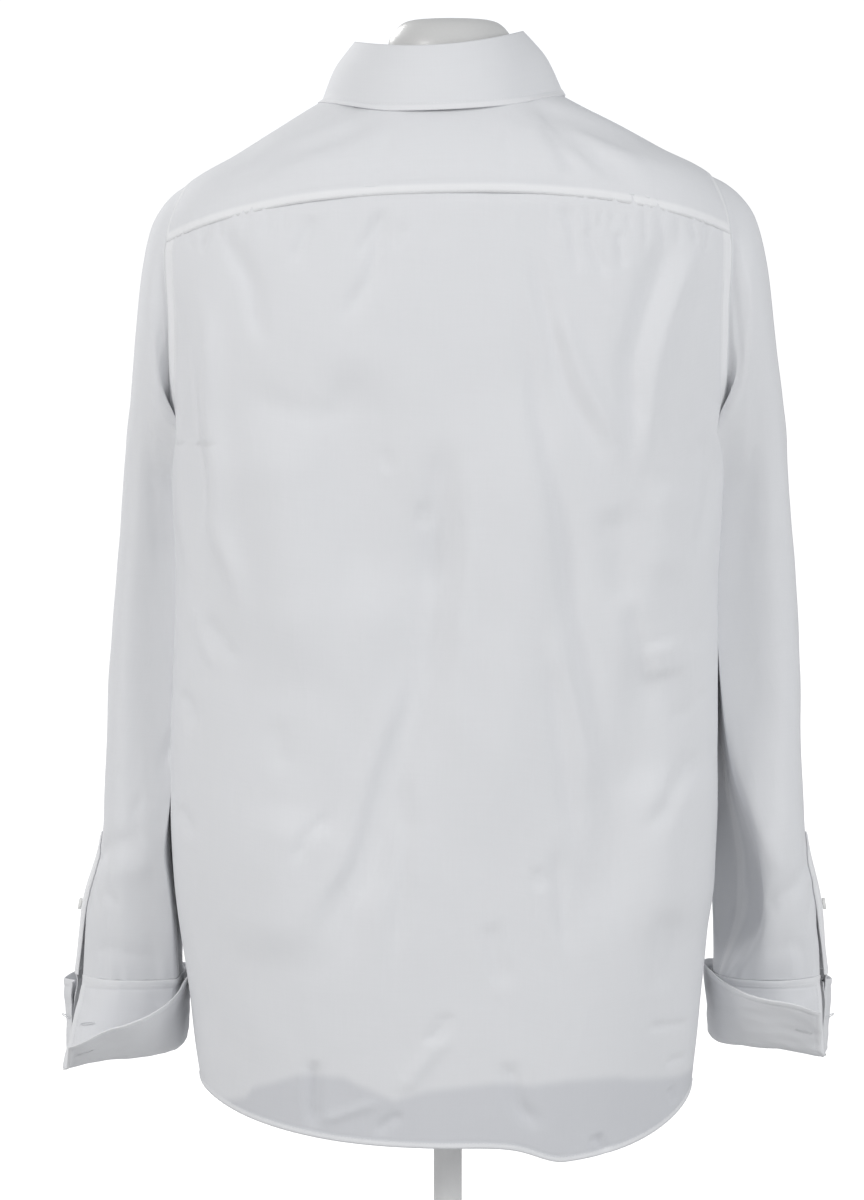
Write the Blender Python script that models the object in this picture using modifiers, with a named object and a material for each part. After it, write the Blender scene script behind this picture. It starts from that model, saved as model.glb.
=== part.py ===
# Long sleeve dress shirt with folded cuffs, filled out on a limbless dress form.
# The shirt faces -Y and its back faces +Y; +X is the wearer's left; the base stands on z = 0.
# The cloth's skin is a stack of rings: theta turns from the left side seam over the back (90 degrees)
# to the right side seam (180 degrees) and round the front, and row numbers climb from tail to neck.

import math
from collections import namedtuple

import bmesh
import bpy
from mathutils import Vector

# Driving dimensions, in metres
TAIL_LEVEL = 0.250            # floor to the level that the shirt's own heights start from
CLOTH = 0.0012                # wall of the one-layer cloth
FACED_CLOTH = 0.0016          # wall of each layer of collar and cuff
SEAM_GAP = 0.0005             # between two pieces that are sewn edge to edge
NECK_GAP = 0.0010              # between the neckline and the collar's stand
OVERLAP = 0.018               # half width of the button stand at centre front
UNDERLAP_DROP = 0.0020        # the right front lies this far below the left one
ARMHOLE_SHRINK = 0.985        # the sleeve starts this far inside the armhole's edge
SHOULDER_TILT = 0.020         # the left shoulder hangs lower, metres per metre
DROOP = 1.25                  # how rings sag from centre back to the sides
BUTTON_RADIUS = 0.0056
BUTTON_HEIGHT = 0.0024
SMALL_BUTTON_RADIUS = 0.0046
FRONT_BUTTONS = 6
BUTTON_SPACING = 0.090
PLACKET_LIFT = 0.0022         # the gauntlet's outer side over the sleeve's outer side
CUFF_HEIGHT = 0.064
CUFF_TURN_BACK = 0.060
CAP_RADIUS = 0.0482
CAP_SHIFT = -0.002            # how far the neck cap sits towards the wearer's left
POLE_RADIUS = 0.011
BASE_RADIUS = 0.155
BASE_HEIGHT = 0.014
SOCKET_RADIUS = 0.019         # round boss on the base, under the pole
SOCKET_HEIGHT = 0.022

TorsoRow = namedtuple(
    "TorsoRow",
    "back_z side_z front_z half_width back_depth front_depth centre_y squareness lean")

TORSO_ROWS = [
    TorsoRow(0.020, 0.020, 0.020, 0.1850, 0.112, 0.106, 0.000, 2.30, 0.001),
    TorsoRow(0.130, 0.130, 0.130, 0.1975, 0.117, 0.110, 0.000, 2.32, 0.002),
    TorsoRow(0.240, 0.240, 0.240, 0.2085, 0.119, 0.112, 0.000, 2.35, 0.004),
    TorsoRow(0.350, 0.350, 0.350, 0.2105, 0.118, 0.113, 0.000, 2.35, 0.003),
    TorsoRow(0.460, 0.460, 0.460, 0.2085, 0.119, 0.116, 0.000, 2.35, 0.001),
    TorsoRow(0.575, 0.567, 0.562, 0.2140, 0.122, 0.119, 0.000, 2.35, 0.000),
    TorsoRow(0.668, 0.648, 0.635, 0.2265, 0.121, 0.117, 0.000, 2.35, 0.000),
    TorsoRow(0.756, 0.702, 0.695, 0.2300, 0.113, 0.108, 0.000, 2.30, 0.000),
    TorsoRow(0.779, 0.757, 0.723, 0.2040, 0.107, 0.101, 0.000, 2.25, 0.000),
    TorsoRow(0.798, 0.785, 0.742, 0.1600, 0.097, 0.095, -0.001, 2.20, 0.001),
    TorsoRow(0.815, 0.811, 0.757, 0.1150, 0.083, 0.088, -0.003, 2.10, 0.003),
    TorsoRow(0.830, 0.836, 0.768, 0.0700, 0.067, 0.078, -0.004, 2.00, 0.004),
]
HEM_LOBE_ANGLE = 116.0         # the shirt tail droops in one lobe, right of centre back
HEM_LOBE_REACH_LEFT = 10.0
HEM_LOBE_REACH_RIGHT = 50.0
HEM_LOBE_DROP = 0.022
HEM_SIDE = 0.077
HEM_BACK = 0.044
HEM_FRONT = 0.052
YOKE_ROW = 7.0
NECK_ROW = 11.0
UNDERARM_ROW = 4.95
ARMHOLE_TOP_ROW = 8.16
ARMHOLE_BACK = math.radians(25.0)
ARMHOLE_FRONT = math.radians(24.0)
YOKE_FRONT = math.radians(16.0)
ARMHOLE_MID_ROW = (UNDERARM_ROW + ARMHOLE_TOP_ROW) / 2
ARMHOLE_HALF_ROWS = (ARMHOLE_TOP_ROW - UNDERARM_ROW) / 2

# Creases run from start over middle to end, as (x, height over the tail level).
# Height is positive for a ridge and negative for a trough.
Crease = namedtuple("Crease", "start middle end width height")

BACK_CREASES = [
    Crease((0.200, 0.712), (0.187, 0.602), (0.168, 0.480), 0.014, 0.0030),
    Crease((0.172, 0.705), (0.160, 0.620), (0.150, 0.520), 0.016, -0.0022),
    Crease((0.150, 0.604), (0.108, 0.597), (0.068, 0.588), 0.040, -0.0016),
    Crease((0.005, 0.600), (0.033, 0.392), (0.083, 0.150), 0.022, -0.0040),
    Crease((0.045, 0.560), (0.070, 0.380), (0.120, 0.180), 0.024, 0.0026),
    Crease((-0.083, 0.744), (-0.095, 0.650), (-0.137, 0.542), 0.016, 0.0026),
    Crease((-0.189, 0.727), (-0.172, 0.632), (-0.137, 0.542), 0.014, 0.0028),
    Crease((-0.059, 0.721), (-0.107, 0.500), (-0.172, 0.330), 0.020, -0.0034),
    Crease((-0.030, 0.560), (-0.060, 0.340), (-0.075, 0.120), 0.026, 0.0030),
    Crease((0.120, 0.110), (0.120, 0.067), (0.118, 0.030), 0.007, -0.0026),
    Crease((-0.012, 0.160), (0.018, 0.097), (0.042, 0.040), 0.010, 0.0030),
    Crease((-0.112, 0.120), (-0.132, 0.070), (-0.150, 0.030), 0.012, -0.0032),
    Crease((-0.085, 0.130), (-0.090, 0.070), (-0.092, 0.020), 0.022, 0.0040),
]
YOKE_CREASES = [
    Crease((-0.050, 0.822), (-0.121, 0.797), (-0.189, 0.772), 0.007, 0.0020),
    Crease((-0.080, 0.797), (-0.107, 0.777), (-0.134, 0.758), 0.007, 0.0016),
    Crease((0.055, 0.815), (0.119, 0.788), (0.180, 0.762), 0.010, 0.0016),
]
FRONT_CREASES = [
    Crease((0.175, 0.690), (0.160, 0.560), (0.150, 0.400), 0.018, -0.0030),
    Crease((-0.178, 0.690), (-0.150, 0.560), (-0.110, 0.420), 0.018, -0.0030),
    Crease((0.120, 0.640), (0.105, 0.400), (0.095, 0.080), 0.026, 0.0032),
    Crease((-0.115, 0.620), (-0.120, 0.360), (-0.105, 0.060), 0.026, 0.0034),
    Crease((0.065, 0.480), (0.052, 0.280), (0.060, 0.060), 0.020, -0.0030),
    Crease((-0.060, 0.500), (-0.070, 0.300), (-0.055, 0.070), 0.020, -0.0028),
]

# Sleeve sections from the armhole down to the cuff seam, for the wearer's left sleeve. Between
# elbow and armhole their back lies flat beside the body, so squareness is above 2 there.
# The right sleeve mirrors them, hangs further out by right_shift and further in by right_inner.
SleeveRow = namedtuple(
    "SleeveRow",
    "outer_x outer_z inner_x inner_z back_y front_y turn right_shift right_inner squareness"
    " armhole_share")

SLEEVE_ROWS = [
    SleeveRow(0.2125, 0.754, 0.2140, 0.5690, 0.053, -0.053, 0.0, 0.000, 0.0000, 2.0, 1.00),
    SleeveRow(0.2240, 0.746, 0.2165, 0.5720, 0.056, -0.056, 0.0, 0.005, 0.0000, 2.0, 0.60),
    SleeveRow(0.2320, 0.728, 0.2190, 0.5700, 0.056, -0.063, 0.0, 0.009, 0.0000, 2.1, 0.26),
    SleeveRow(0.2355, 0.696, 0.2190, 0.5640, 0.051, -0.075, 0.0, 0.010, 0.0000, 2.3, 0.07),
    SleeveRow(0.2398, 0.645, 0.2165, 0.5560, 0.041, -0.090, 0.0, 0.011, 0.0000, 2.6, 0.00),
    SleeveRow(0.2441, 0.597, 0.2138, 0.5440, 0.030, -0.104, 0.0, 0.013, 0.0000, 3.0, 0.00),
    SleeveRow(0.2486, 0.552, 0.2110, 0.5260, 0.020, -0.116, 1.0, 0.013, 0.0000, 3.2, 0.00),
    SleeveRow(0.2524, 0.500, 0.2080, 0.4860, 0.014, -0.124, 2.0, 0.013, -0.0010, 3.2, 0.00),
    SleeveRow(0.2564, 0.450, 0.2074, 0.4440, 0.012, -0.128, 2.0, 0.012, -0.0022, 3.2, 0.00),
    SleeveRow(0.2620, 0.380, 0.2094, 0.3780, 0.012, -0.125, 3.0, 0.011, -0.0045, 3.0, 0.00),
    SleeveRow(0.2646, 0.310, 0.2098, 0.3100, 0.015, -0.116, 5.0, 0.010, -0.0055, 2.5, 0.00),
    SleeveRow(0.2680, 0.250, 0.2090, 0.2500, 0.020, -0.106, 8.0, 0.010, -0.0030, 2.0, 0.00),
    SleeveRow(0.2835, 0.200, 0.2080, 0.2000, 0.014, -0.094, 4.0, 0.007, 0.0000, 2.0, 0.00),
    SleeveRow(0.2905, 0.142, 0.2080, 0.1420, 0.002, -0.082, 0.0, 0.006, 0.0000, 2.0, 0.00),
]
SLIT_ANGLE = math.radians(20.0)
SLIT_TOP_SHARE = 0.866         # how far down the sleeve the slit starts
SLIT_SPREAD = math.radians(10.0)
PLACKET_START = 0.935          # shares round the sleeve of the gauntlet's front and back edge
PLACKET_END = 1.004
PLACKET_POINT = 0.25           # width of the gauntlet's top as a share of its width
PLACKET_BUTTON_DOWN = 0.927
PLACKET_BUTTON_SHARE = 0.970

# Round each cuff from its back end: how far the turned-back layer leans out, in degrees, how much
# lower than CUFF_HEIGHT the fold hangs, and how much further out it stands
FlareRow = namedtuple("FlareRow", "left right left_drop right_drop left_out right_out")
FLARE_ROWS = [
    FlareRow(60.0, 42.0, 0.0065, -0.0030, 0.0100, 0.0040),
    FlareRow(52.0, 38.0, -0.0040, -0.0120, 0.0020, 0.0010),
    FlareRow(36.0, 28.0, -0.0080, -0.0150, 0.0000, 0.0000),
    FlareRow(3.0, 3.0, -0.0090, -0.0130, 0.0000, 0.0000),
    FlareRow(3.0, 3.0, -0.0040, -0.0060, 0.0000, 0.0000),
    FlareRow(8.0, 8.0, 0.0000, 0.0000, 0.0000, 0.0000),
    FlareRow(4.0, 4.0, 0.0010, 0.0010, 0.0000, 0.0000),
    FlareRow(2.0, 2.0, 0.0020, 0.0020, 0.0000, 0.0000),
]


def make_material(name, colour, roughness, metallic=0.0):
    material = bpy.data.materials.new(name)
    material.use_nodes = True
    shader = material.node_tree.nodes["Principled BSDF"]
    shader.inputs["Base Color"].default_value = (*colour, 1.0)
    shader.inputs["Roughness"].default_value = roughness
    shader.inputs["Metallic"].default_value = metallic
    material.diffuse_color = (*colour, 1.0)
    return material


def cubic(before, start, end, after, share):
    """Value between start and end on the smooth curve through four even values."""
    slope = after - before + 3 * (start - end)
    bend = 2 * before - 5 * start + 4 * end - after
    return start + 0.5 * share * (end - before + share * (bend + share * slope))


def row_at(rows, position):
    """A table's columns at any position between its first and last row."""
    last = len(rows) - 1
    position = min(max(position, 0.0), float(last))
    index = min(int(position), last - 1)
    share = position - index
    near = (rows[max(index - 1, 0)], rows[index], rows[index + 1], rows[min(index + 2, last)])
    return [cubic(*column, share) for column in zip(*near)]


def smooth_step(value):
    value = min(max(value, 0.0), 1.0)
    return value * value * (3 - 2 * value)


def signed_power(value, power):
    return math.copysign(abs(value) ** power, value)


# Skin of the shirt's body

def bare_point(theta, row):
    """Point of the body's outer skin without its creases."""
    ring = TorsoRow(*row_at(TORSO_ROWS, row))
    across, along = math.cos(theta), math.sin(theta)
    power = 2 / ring.squareness
    behind = along > 0
    depth = ring.back_depth if behind else ring.front_depth
    middle_z = ring.back_z if behind else ring.front_z
    x = ring.half_width * signed_power(across, power) + ring.lean
    y = ring.centre_y + depth * signed_power(along, power)
    z = ring.side_z + (middle_z - ring.side_z) * abs(along) ** DROOP
    tilt = SHOULDER_TILT * smooth_step((row - 5) / 3)
    return Vector((x, y, TAIL_LEVEL + z - tilt * x))


def skin_normal(theta, row):
    turn = bare_point(theta + 0.02, row) - bare_point(theta - 0.02, row)
    climb = bare_point(theta, row + 0.04) - bare_point(theta, row - 0.04)
    return turn.cross(climb).normalized()


def leg_distance(x, z, start, end):
    """Distance from a point to one straight leg of a crease."""
    run_x, run_z = end[0] - start[0], end[1] - start[1]
    share = ((x - start[0]) * run_x + (z - start[1]) * run_z) / (run_x ** 2 + run_z ** 2)
    share = min(max(share, 0.0), 1.0)
    return math.hypot(x - start[0] - share * run_x, z - start[1] - share * run_z)


def crease_height(creases, x, z):
    total = 0.0
    for crease in creases:
        reach = min(leg_distance(x, z, crease.start, crease.middle),
                    leg_distance(x, z, crease.middle, crease.end))
        total += crease.height * math.exp(-(reach / crease.width) ** 2)
    return total


def skin_point(theta, row, depth=0.0):
    """Point of the body's outer skin with its creases, or depth metres below it."""
    point = bare_point(theta, row)
    height = point.z - TAIL_LEVEL
    if row > YOKE_ROW:
        creases = YOKE_CREASES if point.y > 0 else []
    else:
        creases = BACK_CREASES if point.y > 0 else FRONT_CREASES
    rise = crease_height(creases, point.x, height)
    rise *= smooth_step(abs(point.y) / 0.04) if row < YOKE_ROW else 1.0
    return point + skin_normal(theta, row) * (rise - depth)


def armhole_row(theta):
    """Row of the armhole's upper edge at an angle from the side, or the yoke's row past its end."""
    reach = ARMHOLE_BACK if theta > 0 else ARMHOLE_FRONT
    share = min(abs(theta) / reach, 1.0)
    edge = ARMHOLE_MID_ROW + ARMHOLE_HALF_ROWS * math.sqrt(1 - share * share)
    return max(edge, YOKE_ROW)


def armhole_angle(row, reach):
    """Angle of the armhole's edge from the side at a row, 0 below the underarm."""
    share = (row - ARMHOLE_MID_ROW) / ARMHOLE_HALF_ROWS
    if share <= -1:
        return 0.0
    return reach * math.sqrt(max(1 - share * share, 0.0))


def hem_row(theta):
    """Row of the curved hem: high at the side seams, with one drooping lobe behind."""
    behind = math.sin(theta) > 0
    middle = HEM_BACK if behind else HEM_FRONT
    height = HEM_SIDE + (middle - HEM_SIDE) * abs(math.sin(theta)) ** 1.5
    from_lobe = math.degrees(theta) - HEM_LOBE_ANGLE
    reach = HEM_LOBE_REACH_LEFT if from_lobe < 0 else HEM_LOBE_REACH_RIGHT
    height -= HEM_LOBE_DROP * math.exp(-(from_lobe / reach) ** 2)
    return (height - TORSO_ROWS[0].back_z) / (TORSO_ROWS[1].back_z - TORSO_ROWS[0].back_z)


# Sheets

def new_object(name, mesh_or_bm, material, collection):
    mesh = bpy.data.meshes.new(name)
    mesh_or_bm.to_mesh(mesh)
    mesh_or_bm.free()
    mesh.shade_smooth()
    mesh.materials.append(material)
    piece = bpy.data.objects.new(name, mesh)
    collection.objects.link(piece)
    return piece


def sheet(name, across, up, place, wall, material, collection, flip=False, welded=False):
    """Cloth from a grid: place(u, v) puts each crossing, and Solidify gives the wall inwards."""
    bm = bmesh.new()
    columns, rows = len(across) - 1, len(up) - 1
    bmesh.ops.create_grid(bm, x_segments=columns, y_segments=rows, size=0.5)
    for vertex in bm.verts:
        column = round((vertex.co.x + 0.5) * columns)
        row = round((vertex.co.y + 0.5) * rows)
        vertex.co = place(across[column], up[row])
    if welded:
        bmesh.ops.remove_doubles(bm, verts=bm.verts, dist=0.00002)
    if flip:
        bmesh.ops.reverse_faces(bm, faces=bm.faces)
    piece = new_object(name, bm, material, collection)
    solidify = piece.modifiers.new("Wall", "SOLIDIFY")
    solidify.thickness = wall
    solidify.offset = -1.0
    return piece


def even_stops(first, last, count):
    return [first + (last - first) * index / count for index in range(count + 1)]


def mix(first, last, share):
    return first + (last - first) * share


def seam_angle(width=SEAM_GAP / 2):
    """Angle at the side that spans a width on the skin, for the gap at a seam."""
    return (width / TORSO_ROWS[4].back_depth) ** (TORSO_ROWS[4].squareness / 2)


# Body pieces

BODY_ROWS = [1.15, 1.7, 2.3, 2.9, 3.5, 4.0, 4.5, 4.85, 4.95, 5.03, 5.2, 5.5, 5.9, 6.3, 6.65, 6.86]
ROW_GAP = 0.006               # half a seam gap, in rows


def make_back(collection, material):
    top = YOKE_ROW - ROW_GAP
    up = [-1.0, -0.82, -0.5] + BODY_ROWS + [top]
    across = [0.0, 0.03, 0.075, 0.125] + even_stops(0.17, 0.83, 24) + [0.875, 0.925, 0.97, 1.0]
    side_gap = seam_angle()

    def place(u, v):
        edge = side_gap + armhole_angle(v, ARMHOLE_BACK)
        theta = mix(edge, math.pi - edge, u)
        row = v
        if v < 0:
            row = mix(hem_row(theta), BODY_ROWS[0], 1 + v)
        return skin_point(theta, row)

    return sheet("back", across, up, place, CLOTH, material, collection)


def front_row(v, theta, top):
    if v < 0:
        return mix(hem_row(theta), BODY_ROWS[0], 1 + v)
    if v > YOKE_ROW - 0.2:
        return mix(YOKE_ROW - 0.2, top, (v - YOKE_ROW + 0.2) / (NECK_ROW - YOKE_ROW + 0.2))
    return v


def front_edge(row):
    """Angle, forward from the side, of a front's outer edge at a row."""
    armhole = armhole_angle(row, ARMHOLE_FRONT)
    if row > ARMHOLE_MID_ROW:
        return max(armhole, YOKE_FRONT)
    return armhole


STAND_SHARE = 0.105            # share of a front's columns in its button stand
UNDERLAP_SHARE = 0.15          # share at which the right front starts to rise to the skin
UNDERLAP_FADE = 0.20
YOKE_FRONT_START = 7.7         # row where the front meets the yoke's front edge
YOKE_FRONT_GAP = 0.008
HEM_WIDTH_ROW = 0.5


def make_front(name, side, collection, material):
    """One front, from the button stand at the middle to the side seam; side is 1 for the left one."""
    up = [-1.0, -0.82, -0.45] + BODY_ROWS[:-1] + [6.8, 7.1, 7.45, 7.74, 8.2, 8.9, 9.6, 10.3, 10.8]
    up.append(NECK_ROW - ROW_GAP)
    across = [0.0, STAND_SHARE / 2, STAND_SHARE]
    across += [0.21, 0.32, 0.43, 0.54, 0.65, 0.75, 0.84, 0.91, 0.96, 1.0]
    side_gap = seam_angle()

    def place(u, v):
        edge = max(front_edge(v), 0.0) + side_gap
        if v > YOKE_FRONT_START:
            edge += YOKE_FRONT_GAP
        half_width = TorsoRow(*row_at(TORSO_ROWS, v if v > 0 else HEM_WIDTH_ROW)).half_width
        stand = OVERLAP / half_width
        if u < STAND_SHARE:
            forward = mix(-stand, stand, u / STAND_SHARE)
        else:
            forward = mix(stand, math.pi / 2 - edge, (u - STAND_SHARE) / (1 - STAND_SHARE))
        theta = -math.pi / 2 + side * forward
        row = front_row(v, theta, NECK_ROW - ROW_GAP)
        below = 0.0
        if side < 0:
            below = UNDERLAP_DROP * (1 - smooth_step((u - UNDERLAP_SHARE) / UNDERLAP_FADE))
        return skin_point(theta, row, below)

    return sheet(name, across, up, place, CLOTH, material, collection, flip=side < 0)


def make_yoke(collection, material):
    corner = (armhole_angle(YOKE_ROW, ARMHOLE_BACK) + YOKE_FRONT) / (math.pi + 2 * YOKE_FRONT)
    across = [0.0, 0.035, 0.075, 0.11, 0.145, 0.170, corner] + even_stops(0.235, 0.765, 14)
    across += [1 - corner, 0.83, 0.855, 0.89, 0.925, 0.965, 1.0]
    up = [0.0, 0.07, 0.2, 0.35, 0.5, 0.66, 0.83, 1.0]

    def place(u, v):
        theta = mix(-YOKE_FRONT, math.pi + YOKE_FRONT, u)
        from_side = theta if theta < math.pi / 2 else math.pi - theta
        row = mix(armhole_row(from_side) + ROW_GAP, NECK_ROW - ROW_GAP, v)
        return skin_point(theta, row)

    return sheet("yoke", across, up, place, CLOTH, material, collection)


# Sleeves

def armhole_point(phi, shrink):
    """Point on the left armhole's edge; phi runs from the shoulder over the back to the underarm."""
    reach = ARMHOLE_BACK if math.sin(phi) > 0 else ARMHOLE_FRONT
    theta = reach * math.sin(phi) * shrink
    row = ARMHOLE_MID_ROW + ARMHOLE_HALF_ROWS * math.cos(phi) * shrink
    return theta, row


def sleeve_section(down, side):
    """Sleeve row at a share of the way from armhole to cuff seam."""
    row = SleeveRow(*row_at(SLEEVE_ROWS, down * (len(SLEEVE_ROWS) - 1)))
    shift = row.right_shift if side < 0 else 0.0
    inward = row.right_inner if side < 0 else 0.0
    lift = SHOULDER_TILT * row.outer_x * (1 - smooth_step((down - 0.1) / 0.35)) * -side
    return row._replace(outer_x=row.outer_x + shift, outer_z=row.outer_z + lift,
                        inner_x=row.inner_x + inward, inner_z=row.inner_z + lift)


# Creases across the sleeve: angle and share down, their reach in each, and height
SleeveCrease = namedtuple("SleeveCrease", "angle down slant angle_reach down_reach height")
SLEEVE_CREASES = {
    1: [
        SleeveCrease(60, 0.26, 0.0010, 60, 0.030, 0.0022),
        SleeveCrease(40, 0.70, 0.0012, 55, 0.022, -0.0030),
        SleeveCrease(80, 0.86, -0.0008, 45, 0.016, -0.0026),
        SleeveCrease(70, 0.945, 0.0005, 60, 0.014, 0.0024),
        SleeveCrease(300, 0.58, 0.0008, 60, 0.025, -0.0028),
        SleeveCrease(320, 0.80, -0.0008, 60, 0.022, -0.0026),
    ],
    -1: [
        SleeveCrease(60, 0.30, 0.0008, 60, 0.030, 0.0022),
        SleeveCrease(70, 0.80, -0.0016, 45, 0.018, -0.0032),
        SleeveCrease(90, 0.88, 0.0006, 45, 0.014, -0.0024),
        SleeveCrease(70, 0.94, 0.0004, 60, 0.014, 0.0024),
        SleeveCrease(310, 0.55, 0.0008, 60, 0.025, -0.0028),
        SleeveCrease(300, 0.76, -0.0008, 60, 0.022, -0.0026),
    ],
}


def sleeve_rise(phi, down, side):
    total = 0.0
    turn = math.degrees(phi) % 360
    for crease in SLEEVE_CREASES[side]:
        away = (turn - crease.angle + 180) % 360 - 180
        across = (down - crease.down - crease.slant * away) / crease.down_reach
        along = away / crease.angle_reach
        total += crease.height * math.exp(-across * across - along * along)
    return total * smooth_step((1 - down) / 0.04)


def sleeve_point(phi, down, side, outward=0.0):
    """Point of a sleeve's outer side; phi is 0 at the outer side and 90 degrees behind."""
    row = sleeve_section(down, side)
    centre = Vector(((row.outer_x + row.inner_x) / 2, (row.back_y + row.front_y) / 2,
                     TAIL_LEVEL + (row.outer_z + row.inner_z) / 2))
    out = Vector(((row.outer_x - row.inner_x) / 2, 0.0, (row.outer_z - row.inner_z) / 2))
    back = Vector((0.0, (row.back_y - row.front_y) / 2, 0.0))
    turn = math.radians(row.turn)
    long_way = back + Vector((abs(back.y) * math.sin(turn), 0.0, 0.0))
    power = 2 / row.squareness
    spoke = (out * signed_power(math.cos(phi), power)
             + long_way * signed_power(math.sin(phi), power))
    push = sleeve_rise(phi, down, side) + outward
    round_way = out.normalized() * math.cos(phi) + Vector((0.0, math.sin(phi), 0.0))
    point = centre + spoke + round_way * push
    share = min(max(row.armhole_share, 0.0), 1.0)
    if side < 0:
        point.x = -point.x
    if down < 0.31 and share > 0:
        theta, edge_row = armhole_point(phi, ARMHOLE_SHRINK)
        if side < 0:
            theta = math.pi - theta
        point = point.lerp(skin_point(theta, edge_row), share)
    return point


def slit_half(down):
    """Half the slit's spread, as an angle, at a share of the way down the sleeve."""
    open_share = (down - SLIT_TOP_SHARE) / (1 - SLIT_TOP_SHARE)
    return SLIT_SPREAD * smooth_step(open_share) if open_share > 0 else 0.0


SLEEVE_DOWN = [0.0, 0.035, 0.08, 0.135, 0.19, 0.25, 0.31, 0.37, 0.44, 0.51, 0.58, 0.65, 0.72, 0.78,
               0.83, SLIT_TOP_SHARE, 0.895, 0.92, 0.945, 0.972, 0.9994]
SLEEVE_ROUND = [0.0, 0.03, 0.075, 0.13, 0.19, 0.25, 0.31, 0.37, 0.43, 0.49, 0.55, 0.61, 0.67,
                0.73, 0.79, 0.85, 0.91, 0.96, 1.0]


def sleeve_phi(u, down):
    spread = slit_half(down)
    return SLIT_ANGLE + spread + u * (2 * math.pi - 2 * spread)


def make_sleeve(name, side, collection, material):
    def place(u, v):
        down = 1 - v
        return sleeve_point(sleeve_phi(u, down), down, side)

    up = [1 - down for down in reversed(SLEEVE_DOWN)]
    return sheet(name, SLEEVE_ROUND, up, place, CLOTH, material, collection,
                 flip=side < 0, welded=True)


def make_placket(name, side, collection, material):
    """Gauntlet of the slit: a strip on its front edge with a pointed top."""
    first = SLEEVE_DOWN.index(SLIT_TOP_SHARE) - 1
    levels = SLEEVE_DOWN[first:]
    middle = (PLACKET_START + PLACKET_END) / 2

    def place(u, v):
        down = 1 - v
        narrow = PLACKET_POINT if down <= levels[0] + 1e-6 else 1.0
        share = mix(middle, mix(PLACKET_START, PLACKET_END, u), narrow)
        return sleeve_point(sleeve_phi(share, down), down, side, PLACKET_LIFT)

    up = [1 - down for down in reversed(levels)]
    return sheet(name, [0.0, 0.34, 0.67, 1.0], up, place, CLOTH, material, collection, flip=side < 0)


# Cuffs

CuffRow = namedtuple("CuffRow", "outer_x inner_x back_y front_y")
CUFF_FOLD = CuffRow(0.2965, 0.2080, 0.004, -0.088)
CUFF_OUTER_LEAN = -0.10        # sideways part of the lean at the cuff's outer side
CUFF_INNER_LEAN = 0.12         # and next to the body
CUFF_SQUARENESS = 2.6
CUFF_END_GAP = math.radians(4.0)
CUFF_END_TUCK = math.radians(9.0)    # the turned-back layer's back end starts this far round
FOLD_ROUND = 0.0024            # room between the cuff's two layers at the fold


def cuff_row(u, side):
    """Lean of the turned-back layer, drop of the fold and its shift outwards, round a cuff."""
    row = FlareRow(*row_at(FLARE_ROWS, u * (len(FLARE_ROWS) - 1)))
    if side > 0:
        return math.radians(row.left), row.left_drop, row.left_out
    return math.radians(row.right), row.right_drop, row.right_out


def cuff_point(u, v, side):
    """v runs from the seam (0) down to the fold (0.5) and up the turned-back layer (1)."""
    down = min(v / 0.5, 1.0)
    spread = SLIT_SPREAD + CUFF_END_GAP * down
    tuck = CUFF_END_TUCK * smooth_step((v - 0.5) / 0.1)
    phi = SLIT_ANGLE + spread + tuck + u * (2 * math.pi - 2 * spread - tuck)
    across, along = math.cos(phi), math.sin(phi)
    seam = sleeve_point(phi, 1.0, side)
    power = 2 / CUFF_SQUARENESS
    fold = Vector(((CUFF_FOLD.outer_x + CUFF_FOLD.inner_x) / 2
                   + (CUFF_FOLD.outer_x - CUFF_FOLD.inner_x) / 2 * signed_power(across, power),
                   (CUFF_FOLD.back_y + CUFF_FOLD.front_y) / 2
                   + (CUFF_FOLD.back_y - CUFF_FOLD.front_y) / 2 * signed_power(along, power), seam.z))
    flare, drop, out = cuff_row(u, side)
    fold.x = side * (fold.x + out)
    point = seam.lerp(fold, down) - Vector((0.0, 0.0, SEAM_GAP + down * (CUFF_HEIGHT + drop)))
    if v > 0.5:
        lean = CUFF_OUTER_LEAN if across > 0 and along > 0 else CUFF_INNER_LEAN
        away = Vector((side * across * lean, along, 0.0)).normalized()
        climb = (v - 0.5) / 0.5 * CUFF_TURN_BACK
        step = min(climb / 0.004, 1.0) * FOLD_ROUND
        point += away * (step + climb * math.sin(flare))
        point.z += climb * math.cos(flare)
    return point


def make_cuff(name, side, collection, material):
    across = even_stops(0.0, 1.0, 18)
    levels = [0.0, 0.2, 0.40, 0.47, 0.5, 0.535, 0.66, 0.83, 1.0]

    def place(u, v):
        return cuff_point(u, v, side)

    return sheet(name, across, levels, place, FACED_CLOTH, material, collection, flip=side > 0)


# Collar

CollarRow = namedtuple("CollarRow", "back_z side_z front_z half_width back_y front_y tilt shift")
STAND_TOP = CollarRow(0.8640, 0.8700, 0.8000, 0.0622, 0.0610, -0.0790, 0.064, 0.0070)
LEAF_FOLD = CollarRow(0.8656, 0.8716, 0.8016, 0.0640, 0.0628, -0.0808, 0.064, 0.0070)
LEAF_EDGE = CollarRow(0.8215, 0.8275, 0.7330, 0.0965, 0.0860, -0.1230, 0.044, 0.0045)
LEAF_BULGE = 0.0020
STAND_LAP = math.radians(8.0)
STAND_LAP_STEP = 0.0042        # the stand's right end lies this far inside its left end
LEAF_FRONT_GAP = math.radians(9.0)
LEAF_POINT_TURN = math.radians(26.0)


def collar_point(row, theta, outward=0.0):
    across, along = math.cos(theta), math.sin(theta)
    middle_y = (row.back_y + row.front_y) / 2
    half_depth = (row.back_y - row.front_y) / 2
    middle_z = row.back_z if along > 0 else row.front_z
    rise = abs(along) ** (2.0 if along > 0 else 1.5)
    away = Vector((across, along, 0.0))
    x = row.half_width * across + row.shift
    z = row.side_z + (middle_z - row.side_z) * rise - row.tilt * x
    return Vector((x, middle_y + half_depth * along, TAIL_LEVEL + z)) + away * outward


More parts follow.
